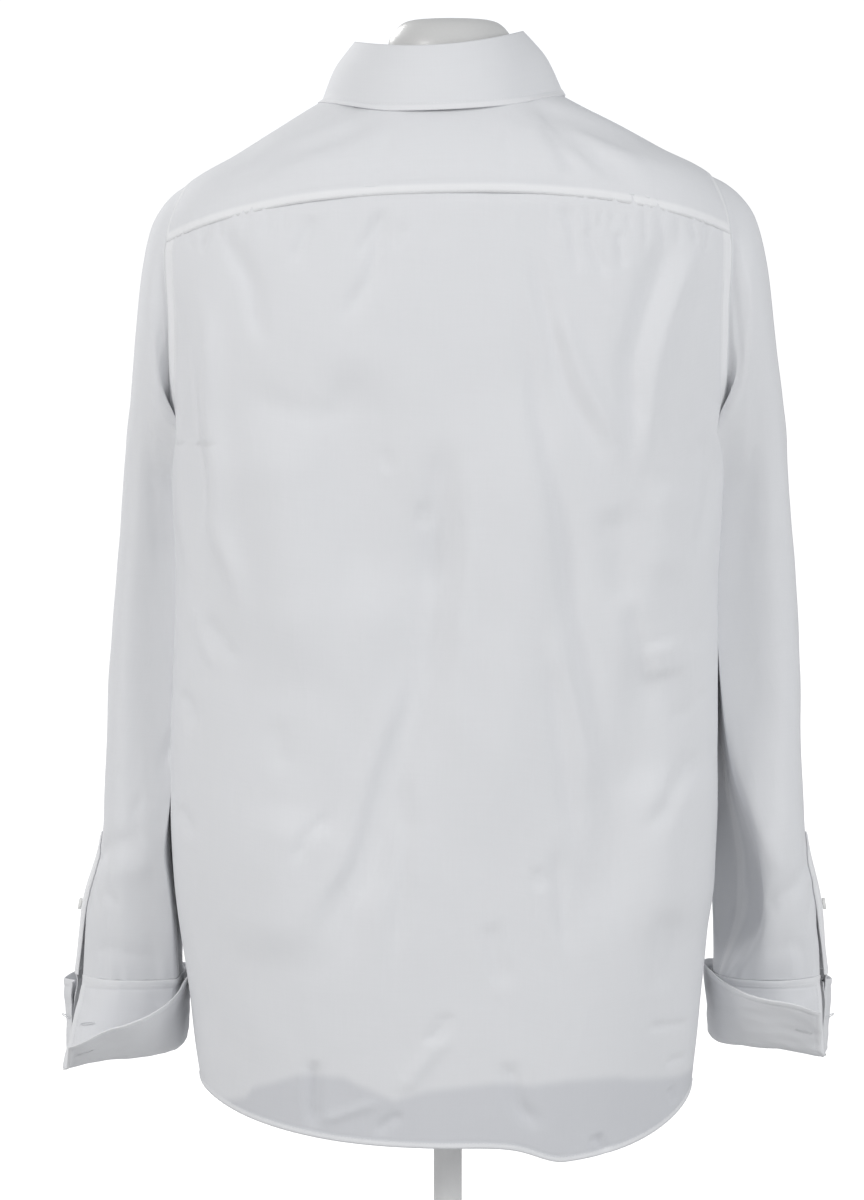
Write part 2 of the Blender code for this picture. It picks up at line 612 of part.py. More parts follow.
def mix_rows(first, last, share):
    return CollarRow(*[mix(a, b, share) for a, b in zip(first, last)])


def stand_foot(theta):
    """Point just above the neckline, where the stand is sewn on."""
    edge = skin_point(theta, NECK_ROW)
    climb = (edge - skin_point(theta, NECK_ROW - 0.1)).normalized()
    return edge + climb * NECK_GAP


def stand_point(theta, v):
    return stand_foot(theta).lerp(collar_point(STAND_TOP, theta), v)


def make_stand(collection, material):
    """Upright band on the neckline, its left end lapped over its right end at centre front."""
    across = even_stops(0.0, 1.0, 38)

    def place(u, v):
        theta = mix(-math.pi / 2 - STAND_LAP, 1.5 * math.pi + STAND_LAP, u)
        away = Vector((math.cos(theta), math.sin(theta), 0.0))
        return stand_point(theta, v) - away * STAND_LAP_STEP * smooth_step((u - 0.90) / 0.06)

    return sheet("collar_stand", across, [0.0, 0.35, 0.7, 1.0], place, FACED_CLOTH, material, collection)


def make_leaf(collection, material):
    """Turned-down collar: its fold on top of the stand, its edge standing off, two points in front."""
    across = even_stops(0.0, 1.0, 36)

    def place(u, v):
        gap = LEAF_FRONT_GAP + LEAF_POINT_TURN * smooth_step((v - 0.1) / 0.9)
        theta = mix(-math.pi / 2 + gap, 1.5 * math.pi - gap, u)
        bulge = LEAF_BULGE * math.sin(math.pi * v)
        return collar_point(mix_rows(LEAF_EDGE, LEAF_FOLD, 1 - v), theta, bulge)

    return sheet("collar_leaf", across, [0.0, 0.12, 0.35, 0.6, 0.82, 1.0], place,
                 FACED_CLOTH, material, collection, flip=True)


# Buttons

def make_button(name, centre, outward, radius, collection, material):
    bm = bmesh.new()
    bmesh.ops.create_cone(bm, cap_ends=True, segments=12, radius1=radius, radius2=radius,
                          depth=BUTTON_HEIGHT)
    rims = [edge for edge in bm.edges if abs(edge.verts[0].co.z - edge.verts[1].co.z) < 1e-6]
    bmesh.ops.bevel(bm, geom=rims, offset=0.0005, segments=1, affect="EDGES")
    button = new_object(name, bm, material, collection)
    button.location = centre
    button.rotation_euler = outward.to_track_quat("Z", "Y").to_euler()
    return button


def make_buttons(collection, material):
    clear = SEAM_GAP + BUTTON_HEIGHT / 2
    for index in range(FRONT_BUTTONS):
        height = 0.700 - index * BUTTON_SPACING
        row = 0.0
        while bare_point(-math.pi / 2, row).z - TAIL_LEVEL < height:
            row += 0.01
        outward = skin_normal(-math.pi / 2, row)
        centre = skin_point(-math.pi / 2, row) + outward * clear
        make_button(f"button_front_{index + 1}", centre, outward, BUTTON_RADIUS, collection, material)
    neck = stand_point(-math.pi / 2, 0.5) + Vector((0.0, -clear, 0.0))
    make_button("button_collar", neck, Vector((0.0, -1.0, 0.0)), BUTTON_RADIUS, collection, material)
    for side, name in ((1, "left"), (-1, "right")):
        down, share = PLACKET_BUTTON_DOWN, PLACKET_BUTTON_SHARE
        place = sleeve_point(sleeve_phi(share, down), down, side, PLACKET_LIFT)
        ahead = sleeve_point(sleeve_phi(share + 0.01, down), down, side, PLACKET_LIFT)
        behind = sleeve_point(sleeve_phi(share - 0.01, down), down, side, PLACKET_LIFT)
        above = sleeve_point(sleeve_phi(share, down - 0.01), down - 0.01, side, PLACKET_LIFT)
        below = sleeve_point(sleeve_phi(share, down + 0.01), down + 0.01, side, PLACKET_LIFT)
        outward = (below - above).cross(ahead - behind).normalized() * side
        make_button(f"button_placket_{name}", place + outward * (BUTTON_HEIGHT / 2 + 0.0003), outward,
                    SMALL_BUTTON_RADIUS, collection, material)


# Dress form

FORM_ROWS = [1.0, 1.8, 3.0, 4.0, 4.8, 5.6, 6.3, 6.8, 7.2, 7.7, 8.3, 9.0, 9.8, 10.4, 10.7]
FORM_SEAT = 0.0011             # clearance where the cloth rests on the shoulders
FORM_EASE = 0.0110             # clearance where the cloth hangs free
NECK_LEVEL = 0.8530
NECK_RADIUS = 0.0460
FORM_SIDES = 36
FORM_FOOT = ((0.055, 0.102), (0.022, 0.110), (0.004, 0.123))    # inset and level of its lowest rings
STAND_GAP = 0.0003             # between the form, its cap, the pole and the base


def form_depth(theta, row):
    """How far the form lies below the shirt's skin."""
    ease = mix(FORM_EASE, 0.0045, smooth_step((row - 6.0) / 1.2))
    ease = mix(ease, FORM_SEAT, smooth_step((row - 7.9) / 0.8))
    side = 1 - min(abs(math.sin(theta)) / 0.45, 1.0)
    armhole = smooth_step((row - 4.0) / 1.0) * smooth_step((8.1 - row) / 0.5)
    neck = smooth_step((row - 9.9) / 0.8)
    front = smooth_step(-math.sin(theta) * 2) * (0.003 + 0.006 * neck)
    return CLOTH + ease + 0.012 * smooth_step(side) * armhole + 0.0045 * neck + front


def make_form(collection, material):
    """Solid torso: rings below the cloth, a rounded foot, and a round level neck."""
    bm = bmesh.new()
    rings = []
    angles = [2 * math.pi * index / FORM_SIDES for index in range(FORM_SIDES)]
    for inset, level in FORM_FOOT:
        ring = []
        for theta in angles:
            point = bare_point(theta, FORM_ROWS[0])
            point -= skin_normal(theta, FORM_ROWS[0]) * (form_depth(theta, FORM_ROWS[0]) + inset)
            point.z = TAIL_LEVEL + level
            ring.append(bm.verts.new(point))
        rings.append(ring)
    for row in FORM_ROWS:
        ring = []
        for theta in angles:
            depth = form_depth(theta, row)
            ring.append(bm.verts.new(bare_point(theta, row) - skin_normal(theta, row) * depth))
        rings.append(ring)
    top = TORSO_ROWS[-1]
    for level, radius in ((NECK_LEVEL - 0.012, 0.0500), (NECK_LEVEL, NECK_RADIUS)):
        ring = []
        for theta in angles:
            x = radius * math.cos(theta) + top.lean
            y = radius * math.sin(theta) - 0.008
            ring.append(bm.verts.new((x, y, TAIL_LEVEL + level)))
        rings.append(ring)
    for lower, upper in zip(rings, rings[1:]):
        for index in range(FORM_SIDES):
            after = (index + 1) % FORM_SIDES
            bm.faces.new((lower[index], lower[after], upper[after], upper[index]))
    bm.faces.new(list(reversed(rings[0])))
    bm.faces.new(rings[-1])
    return new_object("form_torso", bm, material, collection)


def make_turned(name, outline, centre, material, collection, steps=28):
    """Turned solid: the outline runs down its outer side as (radius, height)."""
    bm = bmesh.new()
    corners = [bm.verts.new((radius, 0.0, height)) for radius, height in outline]
    for first, second in zip(corners, corners[1:]):
        bm.edges.new((first, second))
    piece = new_object(name, bm, material, collection)
    piece.location = centre
    screw = piece.modifiers.new("Turn", "SCREW")
    screw.steps = steps
    screw.render_steps = steps
    screw.use_merge_vertices = True
    screw.merge_threshold = 0.00001
    return piece


def make_cap(collection, material):
    """Round neck cap that shows above the collar, its rim rounded and its top slightly crowned."""
    bottom = NECK_LEVEL + STAND_GAP
    outline = [(0.0, 0.8850), (0.022, 0.8842), (0.0325, 0.8825), (0.0385, 0.8795), (0.0437, 0.8740),
               (0.0472, 0.8670), (CAP_RADIUS, bottom + 0.002), (CAP_RADIUS - 0.0005, bottom),
               (0.0, bottom)]
    centre = (CAP_SHIFT, -0.008, TAIL_LEVEL)
    return make_turned("form_neck_cap", outline, centre, material, collection)


def make_pole(collection, material):
    foot = BASE_HEIGHT + SOCKET_HEIGHT + STAND_GAP
    top = TAIL_LEVEL + FORM_FOOT[0][1] - STAND_GAP
    outline = [(0.0, top), (POLE_RADIUS, top), (POLE_RADIUS, foot), (0.0, foot)]
    return make_turned("stand_pole", outline, (0.0, 0.0, 0.0), material, collection, 16)


def make_base(collection, material):
    edge = 0.004
    top = BASE_HEIGHT + SOCKET_HEIGHT
    outline = [(0.0, top), (SOCKET_RADIUS - 0.002, top), (SOCKET_RADIUS, top - 0.002),
               (SOCKET_RADIUS, BASE_HEIGHT + 0.006), (SOCKET_RADIUS + 0.006, BASE_HEIGHT),
               (BASE_RADIUS - 3 * edge, BASE_HEIGHT), (BASE_RADIUS - edge, BASE_HEIGHT - edge),
               (BASE_RADIUS, edge), (BASE_RADIUS, 0.0), (0.0, 0.0)]
    return make_turned("stand_base", outline, (0.0, 0.0, 0.0), material, collection, 36)


def main():
    for leftover in list(bpy.data.objects):
        bpy.data.objects.remove(leftover)
    parts = bpy.data.collections.new("long_sleeve_dress_shirt")
    bpy.context.scene.collection.children.link(parts)

    cotton = make_material("cotton_poplin", (0.84, 0.84, 0.86), 0.75)
    faced = make_material("faced_cotton", (0.80, 0.80, 0.82), 0.72)
    resin = make_material("button_resin", (0.88, 0.88, 0.86), 0.30)
    jersey = make_material("form_jersey", (0.70, 0.70, 0.70), 0.85)
    lacquer = make_material("cap_lacquer", (0.66, 0.66, 0.66), 0.45)
    steel = make_material("painted_steel", (0.78, 0.78, 0.78), 0.40)

    make_back(parts, cotton)
    make_front("front_left", 1, parts, cotton)
    make_front("front_right", -1, parts, cotton)
    make_yoke(parts, cotton)
    make_stand(parts, faced)
    make_leaf(parts, faced)
    for side, name in ((1, "left"), (-1, "right")):
        make_sleeve(f"sleeve_{name}", side, parts, cotton)
        make_placket(f"placket_{name}", side, parts, cotton)
        make_cuff(f"cuff_{name}", side, parts, faced)
    make_buttons(parts, resin)
    make_form(parts, jersey)
    make_cap(parts, lacquer)
    make_pole(parts, steel)
    make_base(parts, steel)


main()
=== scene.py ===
import math

import bpy
import numpy as np
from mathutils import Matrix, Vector
from mathutils.kdtree import KDTree


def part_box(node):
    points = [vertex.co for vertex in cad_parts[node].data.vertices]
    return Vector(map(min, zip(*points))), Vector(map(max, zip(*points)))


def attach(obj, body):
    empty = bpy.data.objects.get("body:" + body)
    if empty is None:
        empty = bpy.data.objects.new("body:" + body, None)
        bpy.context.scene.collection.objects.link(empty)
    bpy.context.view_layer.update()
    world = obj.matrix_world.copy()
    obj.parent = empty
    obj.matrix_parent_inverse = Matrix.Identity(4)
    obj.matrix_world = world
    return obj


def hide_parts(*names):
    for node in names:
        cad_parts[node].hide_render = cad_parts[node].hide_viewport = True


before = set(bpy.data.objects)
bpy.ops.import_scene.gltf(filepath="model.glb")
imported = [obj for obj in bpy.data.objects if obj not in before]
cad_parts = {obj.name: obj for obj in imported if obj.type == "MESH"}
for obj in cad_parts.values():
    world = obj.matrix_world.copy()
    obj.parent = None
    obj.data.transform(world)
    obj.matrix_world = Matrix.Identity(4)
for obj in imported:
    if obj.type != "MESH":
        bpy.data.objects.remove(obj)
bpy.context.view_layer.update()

scene = bpy.context.scene

# Camera: behind the shirt at the height of its collar, aimed at the middle of its back
cameraView = {"place": (0.0123, 3.6, 1.11), "aim": (0.0123, 0.0, 0.6905), "lens": 141.35,
              "sensor": 36.0, "clipEnd": 60.0}


def aimed(place, aim):
    return (Vector(aim) - Vector(place)).to_track_quat("-Z", "Y").to_euler()


bpy.ops.object.camera_add(location=cameraView["place"])
camera = bpy.context.object
camera.name = "camera"
camera.rotation_euler = aimed(cameraView["place"], cameraView["aim"])
camera.data.lens = cameraView["lens"]
camera.data.sensor_width = cameraView["sensor"]
camera.data.sensor_fit = "AUTO"
camera.data.clip_end = cameraView["clipEnd"]
scene.camera = camera
print("camera set")


# Small helpers that the cloth is placed with

def smooth(value):
    value = np.clip(value, 0.0, 1.0)
    return value * value * (3 - 2 * value)


def mixed(first, last, share):
    return first + (last - first) * share


def bell(value):
    return np.exp(-value * value)


def powered(value, power):
    return np.sign(value) * np.abs(value) ** power


def along(values, position):
    # one column of a size table at any position between its rows
    values = np.asarray(values, float)
    last = len(values) - 1
    position = np.clip(position, 0.0, last)
    index = np.minimum(np.asarray(position).astype(int), last - 1)
    share = position - index
    before, start = values[np.maximum(index - 1, 0)], values[index]
    end, after = values[index + 1], values[np.minimum(index + 2, last)]
    slope = after - before + 3 * (start - end)
    bend = 2 * before - 5 * start + 4 * end - after
    return start + 0.5 * share * (end - before + share * (bend + share * slope))


def unit(vectors):
    return vectors / np.maximum(np.linalg.norm(vectors, axis=-1, keepdims=True), 1e-12)


def stacked(*values):
    return np.stack(values, -1)


def surfaceNormal(points):
    # outward normals of a grid of points, rows first
    return unit(np.cross(np.gradient(points, axis=1), np.gradient(points, axis=0)))


def ripples(x, z, size, seed):
    # slow uneven swell, about one metre per metre high, with no repeat that shows
    rng = np.random.default_rng(seed)
    total = np.zeros_like(x)
    for _ in range(9):
        angle, phase = rng.uniform(0, 2 * math.pi, 2)
        rate = 2 * math.pi / (size * rng.uniform(0.7, 1.6))
        total = total + np.sin(rate * (x * math.cos(angle) + z * math.sin(angle)) + phase)
    return total / 3.0


def smoothPath(path):
    path = np.array(path, float) / 1000.0
    if len(path) < 3:
        return path
    at = np.linspace(0, len(path) - 1, 9 * (len(path) - 1) + 1)
    return stacked(along(path[:, 0], at), along(path[:, 1], at))


foldShape = {"reach": 3.2, "taperIn": 0.24, "taperOut": 0.3}


def foldRelief(folds, x, z):
    # folds are (height, left width, right width, x, z, x, z ...), in millimetres, upper end first
    total = np.zeros_like(x)
    for height, left, right, *path in folds:
        line = smoothPath(np.reshape(path, (-1, 2)))
        reach = foldShape["reach"] * max(left, right) / 1000.0
        near = ((x > line[:, 0].min() - reach) & (x < line[:, 0].max() + reach)
                & (z > line[:, 1].min() - reach) & (z < line[:, 1].max() + reach))
        if not near.any():
            continue
        px, pz = x[near], z[near]
        best = np.full(px.shape, 1e9)
        sideways, share = np.zeros_like(px), np.zeros_like(px)
        lengths = np.linalg.norm(np.diff(line, axis=0), axis=1)
        passed, whole = 0.0, max(lengths.sum(), 1e-6)
        for start, end, length in zip(line[:-1], line[1:], lengths):
            runX, runZ = (end - start) / max(length, 1e-9)
            down = np.clip((px - start[0]) * runX + (pz - start[1]) * runZ, 0, length)
            offX, offZ = px - start[0] - down * runX, pz - start[1] - down * runZ
            away = np.hypot(offX, offZ)
            closer = away < best
            best = np.where(closer, away, best)
            sideways = np.where(closer, offX * runZ - offZ * runX, sideways)
            share = np.where(closer, (passed + down) / whole, share)
            passed += length
        width = np.where(sideways < 0, left, right) / 1000.0
        taper = smooth(share / foldShape["taperIn"]) * smooth((1 - share) / foldShape["taperOut"])
        total[near] += height / 1000.0 * taper * np.exp(-(best / width) ** 2)
    return total


def flatBand(distance, width, border=0.001):
    # 1 within a width of an edge, falling to 0 over a soft border
    return smooth((width - distance) / border)


def groove(distance, depth=0.0003, width=0.0008):
    # fine trough that a row of stitches pulls into the cloth
    return -depth * bell(distance / width)


# Meshes

def deselectAll():
    if bpy.context.object and bpy.context.object.mode != "OBJECT":
        bpy.ops.object.mode_set(mode="OBJECT")
    bpy.ops.object.select_all(action="DESELECT")


def pick(*picked):
    deselectAll()
    for piece in picked:
        piece.select_set(True)
    bpy.context.view_layer.objects.active = picked[0]


def applyAll(piece):
    bpy.context.view_layer.objects.active = piece
    for modifier in list(piece.modifiers):
        bpy.ops.object.modifier_apply(modifier=modifier.name)


def arcs(points, axis):
    steps = np.linalg.norm(np.diff(points, axis=axis), axis=2)
    start = np.zeros_like(np.take(steps, [0], axis=axis))
    return np.concatenate([start, np.cumsum(steps, axis=axis)], axis=axis)


grids = {}                                         # each sheet's outer side and its normals, for sewing


def clothSheet(name, points, wall, turned=False, welded=False, thin=0.0, doubledLight=0.0):
    # a grid of points (rows, columns, xyz) becomes a thin shell whose outer side is where they lie
    rows, columns = points.shape[:2]
    grids[name] = (points, surfaceNormal(points) * (-1 if turned else 1))
    deselectAll()
    bpy.ops.mesh.primitive_grid_add(x_subdivisions=columns - 1, y_subdivisions=rows - 1, size=1)
    piece = bpy.context.object
    piece.name = piece.data.name = name
    mesh = piece.data
    start = np.empty(len(mesh.vertices) * 3)
    mesh.vertices.foreach_get("co", start)
    start = start.reshape(-1, 3)
    column = np.rint((start[:, 0] + 0.5) * (columns - 1)).astype(int)
    row = np.rint((start[:, 1] + 0.5) * (rows - 1)).astype(int)
    mesh.vertices.foreach_set("co", points[row, column].ravel())
    # the weave's own map, in metres along the cloth from its middle column
    across, climb = arcs(points, 1), arcs(points, 0)
    across = across - across[:, columns // 2][:, None]
    corner = np.empty(len(mesh.loops), dtype=np.int32)
    mesh.loops.foreach_get("vertex_index", corner)
    weave = mesh.uv_layers[0] if mesh.uv_layers else mesh.uv_layers.new()
    weave.name = "weave"
    flat = stacked(across[row[corner], column[corner]], climb[row[corner], column[corner]])
    weave.data.foreach_set("uv", flat.ravel())
    # masks for painted colour on the cloth: painted shade where it lies single with nothing behind it,
    # painted light where it lies doubled
    for title, mask in (("thin", thin), ("doubledLight", doubledLight)):
        values = np.broadcast_to(mask, (rows, columns))[row, column]
        attribute = mesh.attributes.new(title, "FLOAT", "POINT")
        attribute.data.foreach_set("value", np.ascontiguousarray(values, dtype=np.float32))
    mesh.update()
    bpy.ops.object.mode_set(mode="EDIT")
    bpy.ops.mesh.select_all(action="SELECT")
    if welded:
        bpy.ops.mesh.remove_doubles(threshold=0.00002)
    if turned:
        bpy.ops.mesh.flip_normals()
    bpy.ops.object.mode_set(mode="OBJECT")
    bpy.ops.object.shade_smooth()
    if wall:
        shell = piece.modifiers.new("wall", "SOLIDIFY")
        shell.thickness, shell.offset = wall, -1.0
        applyAll(piece)
    return piece


def finish(piece, node, material):
    piece.data.materials.clear()
    piece.data.materials.append(material)
    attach(piece, "root")
    if node:
        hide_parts(node)


def finishCloth(piece, node, faced=False):
    slot, material = ("faced_cotton", facedPoplin) if faced else ("cotton_poplin", poplin)
    finish(piece, node, material)


# Materials

def nodeGroup(name, inputs, outputs):
    group = bpy.data.node_groups.new(name, "ShaderNodeTree")
    for title, kind, value in inputs:
        socket = group.interface.new_socket(name=title, in_out="INPUT", socket_type=kind)
        if value is not None:
            socket.default_value = value
    for title in outputs:
        group.interface.new_socket(name=title, in_out="OUTPUT", socket_type="NodeSocketFloat")
    return group, group.nodes.new("NodeGroupInput").outputs, group.nodes.new("NodeGroupOutput").inputs


def feed(tree, socket, value):
    if hasattr(value, "links"):
        tree.links.new(value, socket)
    else:
        socket.default_value = value


def addNode(tree, kind, values=None, **settings):
    # values are plain ones for the node's inputs, or the outputs to link to them
    node = tree.nodes.new(kind)
    for key, value in settings.items():
        setattr(node, key, value)
    for key, value in (values or {}).items():
        feed(tree, node.inputs[key], value)
    return node


def maths(tree, operation, *values):
    return addNode(tree, "ShaderNodeMath", dict(enumerate(values)), operation=operation).outputs[0]


def noise(tree, vector, **values):
    return addNode(tree, "ShaderNodeTexNoise", {"Vector": vector, **values})


def stretch(tree, vector, scale):
    return addNode(tree, "ShaderNodeMapping", {"Vector": vector, "Scale": scale}).outputs[0]


def mixColour(tree, first, last, share):
    ends = [end if hasattr(end, "links") else (*end, 1.0) for end in (first, last)]
    return addNode(tree, "ShaderNodeMix", {"A": ends[0], "B": ends[1], "Factor": share},
                   data_type="RGBA", blend_type="MIX").outputs["Result"]


def newMaterial(name, values):
    material = bpy.data.materials.new(name)
    material.use_nodes = True
    tree = material.node_tree
    shader = tree.nodes["Principled BSDF"].inputs
    for key, value in values.items():
        shader[key].default_value = value
    return material, tree, shader, addNode(tree, "ShaderNodeTexCoord").outputs["Object"]


def poplinGroup():
    # plain weave seen close, with slubs in both threads and a slow unevenness from pressing
    group, given, result = nodeGroup(
        "poplinWeave", [("Along", "NodeSocketVector", None), ("Threads", "NodeSocketFloat", 2600.0),
                        ("Slub", "NodeSocketFloat", 0.5)], ["Height", "Shade"])
    split = addNode(group, "ShaderNodeSeparateXYZ", {0: given["Along"]})
    warp, weft = [maths(group, "SINE", maths(group, "MULTIPLY", split.outputs[k], given["Threads"]))
                  for k in (0, 1)]
    weave = maths(group, "MULTIPLY", warp, weft)
    slubs = [noise(group, stretch(group, given["Along"], scale), Scale=1.0, Detail=2.0, Roughness=0.6)
             for scale in ((900.0, 26.0, 1.0), (22.0, 760.0, 1.0))]
    slub = maths(group, "SUBTRACT", maths(group, "ADD", slubs[0].outputs[0], slubs[1].outputs[0]), 1.0)
    slub = maths(group, "MULTIPLY", slub, given["Slub"])
    feed(group, result["Height"], maths(group, "ADD", maths(group, "MULTIPLY", weave, 0.5), slub))
    # tone: the slubs' own, plus painted shade between the weave's threads and painted light on their crowns
    feed(group, result["Shade"],
         maths(group, "MULTIPLY_ADD", slub, 0.05, maths(group, "MULTIPLY", weave, 0.012)))
    return group


def wrinkleGroup():
    # the small creases of worn cotton, a few tenths of a millimetre high
    group, given, result = nodeGroup(
        "smallCreases", [("Place", "NodeSocketVector", None), ("Size", "NodeSocketFloat", 30.0)],
        ["Height"])
    bend = noise(group, given["Place"], Scale=9.0, Detail=1.0).outputs["Color"]
    shifted = addNode(group, "ShaderNodeVectorMath", {0: bend, 1: (0.03, 0.03, 0.03)}, operation="MULTIPLY")
    moved = addNode(group, "ShaderNodeVectorMath", {0: given["Place"], 1: shifted.outputs[0]},
                    operation="ADD")
    crease = noise(group, stretch(group, moved.outputs[0], (1.0, 1.0, 0.45)), Scale=given["Size"],
                   Detail=2.0, Roughness=0.45)
    ridge = maths(group, "ABSOLUTE", maths(group, "SUBTRACT", crease.outputs[0], 0.5))
    feed(group, result["Height"], maths(group, "SUBTRACT", 0.25, ridge))
    return group


poplinWeave = poplinGroup()
smallCreases = wrinkleGroup()


def cottonMaterial(name, look):
    material, tree, shader, place = newMaterial(
        name, {"Roughness": look["roughness"], "Sheen Weight": look["sheen"], "Sheen Roughness": 0.45,
               "Specular IOR Level": 0.22})
    weave = addNode(tree, "ShaderNodeGroup", {
        "Threads": look["threads"], "Slub": look["slub"],
        "Along": addNode(tree, "ShaderNodeUVMap", uv_map="weave").outputs[0]}, node_tree=poplinWeave)
    creases = addNode(tree, "ShaderNodeGroup", {"Size": look["creaseSize"], "Place": place},
                      node_tree=smallCreases)
    thin, doubledLight = [addNode(tree, "ShaderNodeAttribute", attribute_name=title).outputs["Fac"]
                    for title in ("thin", "doubledLight")]
    # painted shade where the cloth lies single, then painted light where it lies doubled
    colour = mixColour(tree, look["colour"], look["paintedShadeColour"], thin)
    colour = mixColour(tree, colour, look["doubledLightColour"], doubledLight)
    shaded = addNode(tree, "ShaderNodeHueSaturation", {
        "Color": colour, "Value": maths(tree, "ADD", weave.outputs["Shade"], 1.0)})
    feed(tree, shader["Base Color"], shaded.outputs[0])
    coarse = addNode(tree, "ShaderNodeBump", {"Strength": look["creaseBump"], "Distance": 0.0022,
                                              "Height": creases.outputs["Height"]})
    fine = addNode(tree, "ShaderNodeBump", {"Strength": look["weaveBump"], "Distance": 0.00012,
                                            "Height": weave.outputs["Height"],
                                            "Normal": coarse.outputs[0]})
    feed(tree, shader["Normal"], fine.outputs[0])
    return material


# the cloth's own colour, then a darker one that is painted shade for single cloth with nothing behind it,
# and a lighter one that is painted light for doubled cloth
cottonLook = {"colour": (0.76, 0.768, 0.79), "paintedShadeColour": (0.648, 0.658, 0.688),
              "doubledLightColour": (0.845, 0.85, 0.866), "roughness": 0.78, "sheen": 0.06,
              "threads": 9000.0, "slub": 0.5, "creaseSize": 34.0, "creaseBump": 0.55,
              "weaveBump": 0.3}
poplin = cottonMaterial("cottonPoplin", cottonLook)
facedPoplin = cottonMaterial("facedPoplin", dict(cottonLook, roughness=0.74, creaseBump=0.35,
                                                 creaseSize=26.0))
print("cloth materials made")


# Shape of the shirt's body: rings from tail to neck, heights over the tail level in metres
bodyShape = {
    "backZ": [0.02, 0.13, 0.24, 0.35, 0.46, 0.575, 0.668, 0.756, 0.779, 0.798, 0.815, 0.83],
    "sideZ": [0.02, 0.13, 0.24, 0.35, 0.46, 0.567, 0.648, 0.702, 0.757, 0.785, 0.811, 0.836],
    "frontZ": [0.02, 0.13, 0.24, 0.35, 0.46, 0.562, 0.635, 0.695, 0.723, 0.742, 0.757, 0.768],
    "halfWidth": [0.185, 0.1975, 0.2085, 0.2105, 0.2085, 0.214, 0.2265, 0.23, 0.204, 0.16, 0.115, 0.07],
    "backDepth": [0.112, 0.117, 0.119, 0.118, 0.119, 0.122, 0.121, 0.113, 0.107, 0.097, 0.083, 0.067],
    "frontDepth": [0.106, 0.11, 0.112, 0.113, 0.116, 0.119, 0.117, 0.108, 0.101, 0.095, 0.088, 0.078],
    "centreY": [0, 0, 0, 0, 0, 0, 0, 0, 0, -0.001, -0.003, -0.004],
    "squareness": [2.3, 2.32, 2.35, 2.35, 2.35, 2.35, 2.35, 2.3, 2.25, 2.2, 2.1, 2],
    "lean": [0.001, 0.002, 0.004, 0.003, 0.001, 0, 0, 0, 0, 0.001, 0.003, 0.004],
}
bodyCut = {"tailLevel": 0.25, "droop": 1.25, "tilt": 0.02, "hemSide": 0.077, "hemBack": 0.044,
           "hemFront": 0.052, "lobeAngle": 116.0, "lobeLeft": 10.0, "lobeRight": 50.0,
           "lobeDrop": 0.022, "yokeRow": 7.0, "neckRow": 11.0, "underarmRow": 4.95,
           "armholeTopRow": 8.16, "armholeBack": math.radians(25.0),
           "armholeFront": math.radians(24.0), "yokeFront": math.radians(16.0),
           "wall": 0.0007, "facedWall": 0.001, "layer": 0.0009, "firstRow": 0.02, "rowHeight": 0.11,
           "lowRows": 1.2, "neckIn": 0.006}
tail = bodyCut["tailLevel"]
armholeMid = (bodyCut["underarmRow"] + bodyCut["armholeTopRow"]) / 2
armholeHalf = (bodyCut["armholeTopRow"] - bodyCut["underarmRow"]) / 2
quarter = math.pi / 2
sideTitle = {1: "Left", -1: "Right"}               # the wearer's


def bodyRing(row):
    return {title: along(column, row) for title, column in bodyShape.items()}


def bodyPoint(theta, row):
    ring = bodyRing(row)
    across, deep = np.cos(theta), np.sin(theta)
    power = 2 / ring["squareness"]
    depth = np.where(deep > 0, ring["backDepth"], ring["frontDepth"])
    middle = np.where(deep > 0, ring["backZ"], ring["frontZ"])
    x = ring["halfWidth"] * powered(across, power) + ring["lean"]
    y = ring["centreY"] + depth * powered(deep, power)
    z = ring["sideZ"] + (middle - ring["sideZ"]) * np.abs(deep) ** bodyCut["droop"]
    tilt = bodyCut["tilt"] * smooth((row - 5) / 3)
    return stacked(x, y, tail + z - tilt * x)


def bodyNormal(theta, row):
    turn = bodyPoint(theta + 0.02, row) - bodyPoint(theta - 0.02, row)
    climb = bodyPoint(theta, row + 0.04) - bodyPoint(theta, row - 0.04)
    return unit(np.cross(turn, climb))


def placeOnBody(theta, row, relief):
    return bodyPoint(theta, row) + bodyNormal(theta, row) * relief[..., None]


def armholeAngle(row, reach):
    share = (row - armholeMid) / armholeHalf
    return np.where(np.abs(share) < 1, reach * np.sqrt(np.maximum(1 - share * share, 0)), 0.0)


def armholeRow(fromSide):
    reach = np.where(fromSide > 0, bodyCut["armholeBack"], bodyCut["armholeFront"])
    share = np.minimum(np.abs(fromSide) / reach, 1.0)
    return np.maximum(armholeMid + armholeHalf * np.sqrt(1 - share * share), bodyCut["yokeRow"])


def fromHem(theta, row):
    # rows under lowRows, from -1 at the hem, are spread evenly between the curved hem and that row
    middle = np.where(np.sin(theta) > 0, bodyCut["hemBack"], bodyCut["hemFront"])
    height = bodyCut["hemSide"] + (middle - bodyCut["hemSide"]) * np.abs(np.sin(theta)) ** 1.5
    fromLobe = np.degrees(theta) - bodyCut["lobeAngle"]
    reach = np.where(fromLobe < 0, bodyCut["lobeLeft"], bodyCut["lobeRight"])
    height = height - bodyCut["lobeDrop"] * bell(fromLobe / reach)
    low, start = (height - bodyCut["firstRow"]) / bodyCut["rowHeight"], bodyCut["lowRows"]
    share = np.clip((row + 1.0) / (start + 1.0), 0, 1)
    return np.where(row < start, low + (start - low) * share, row)


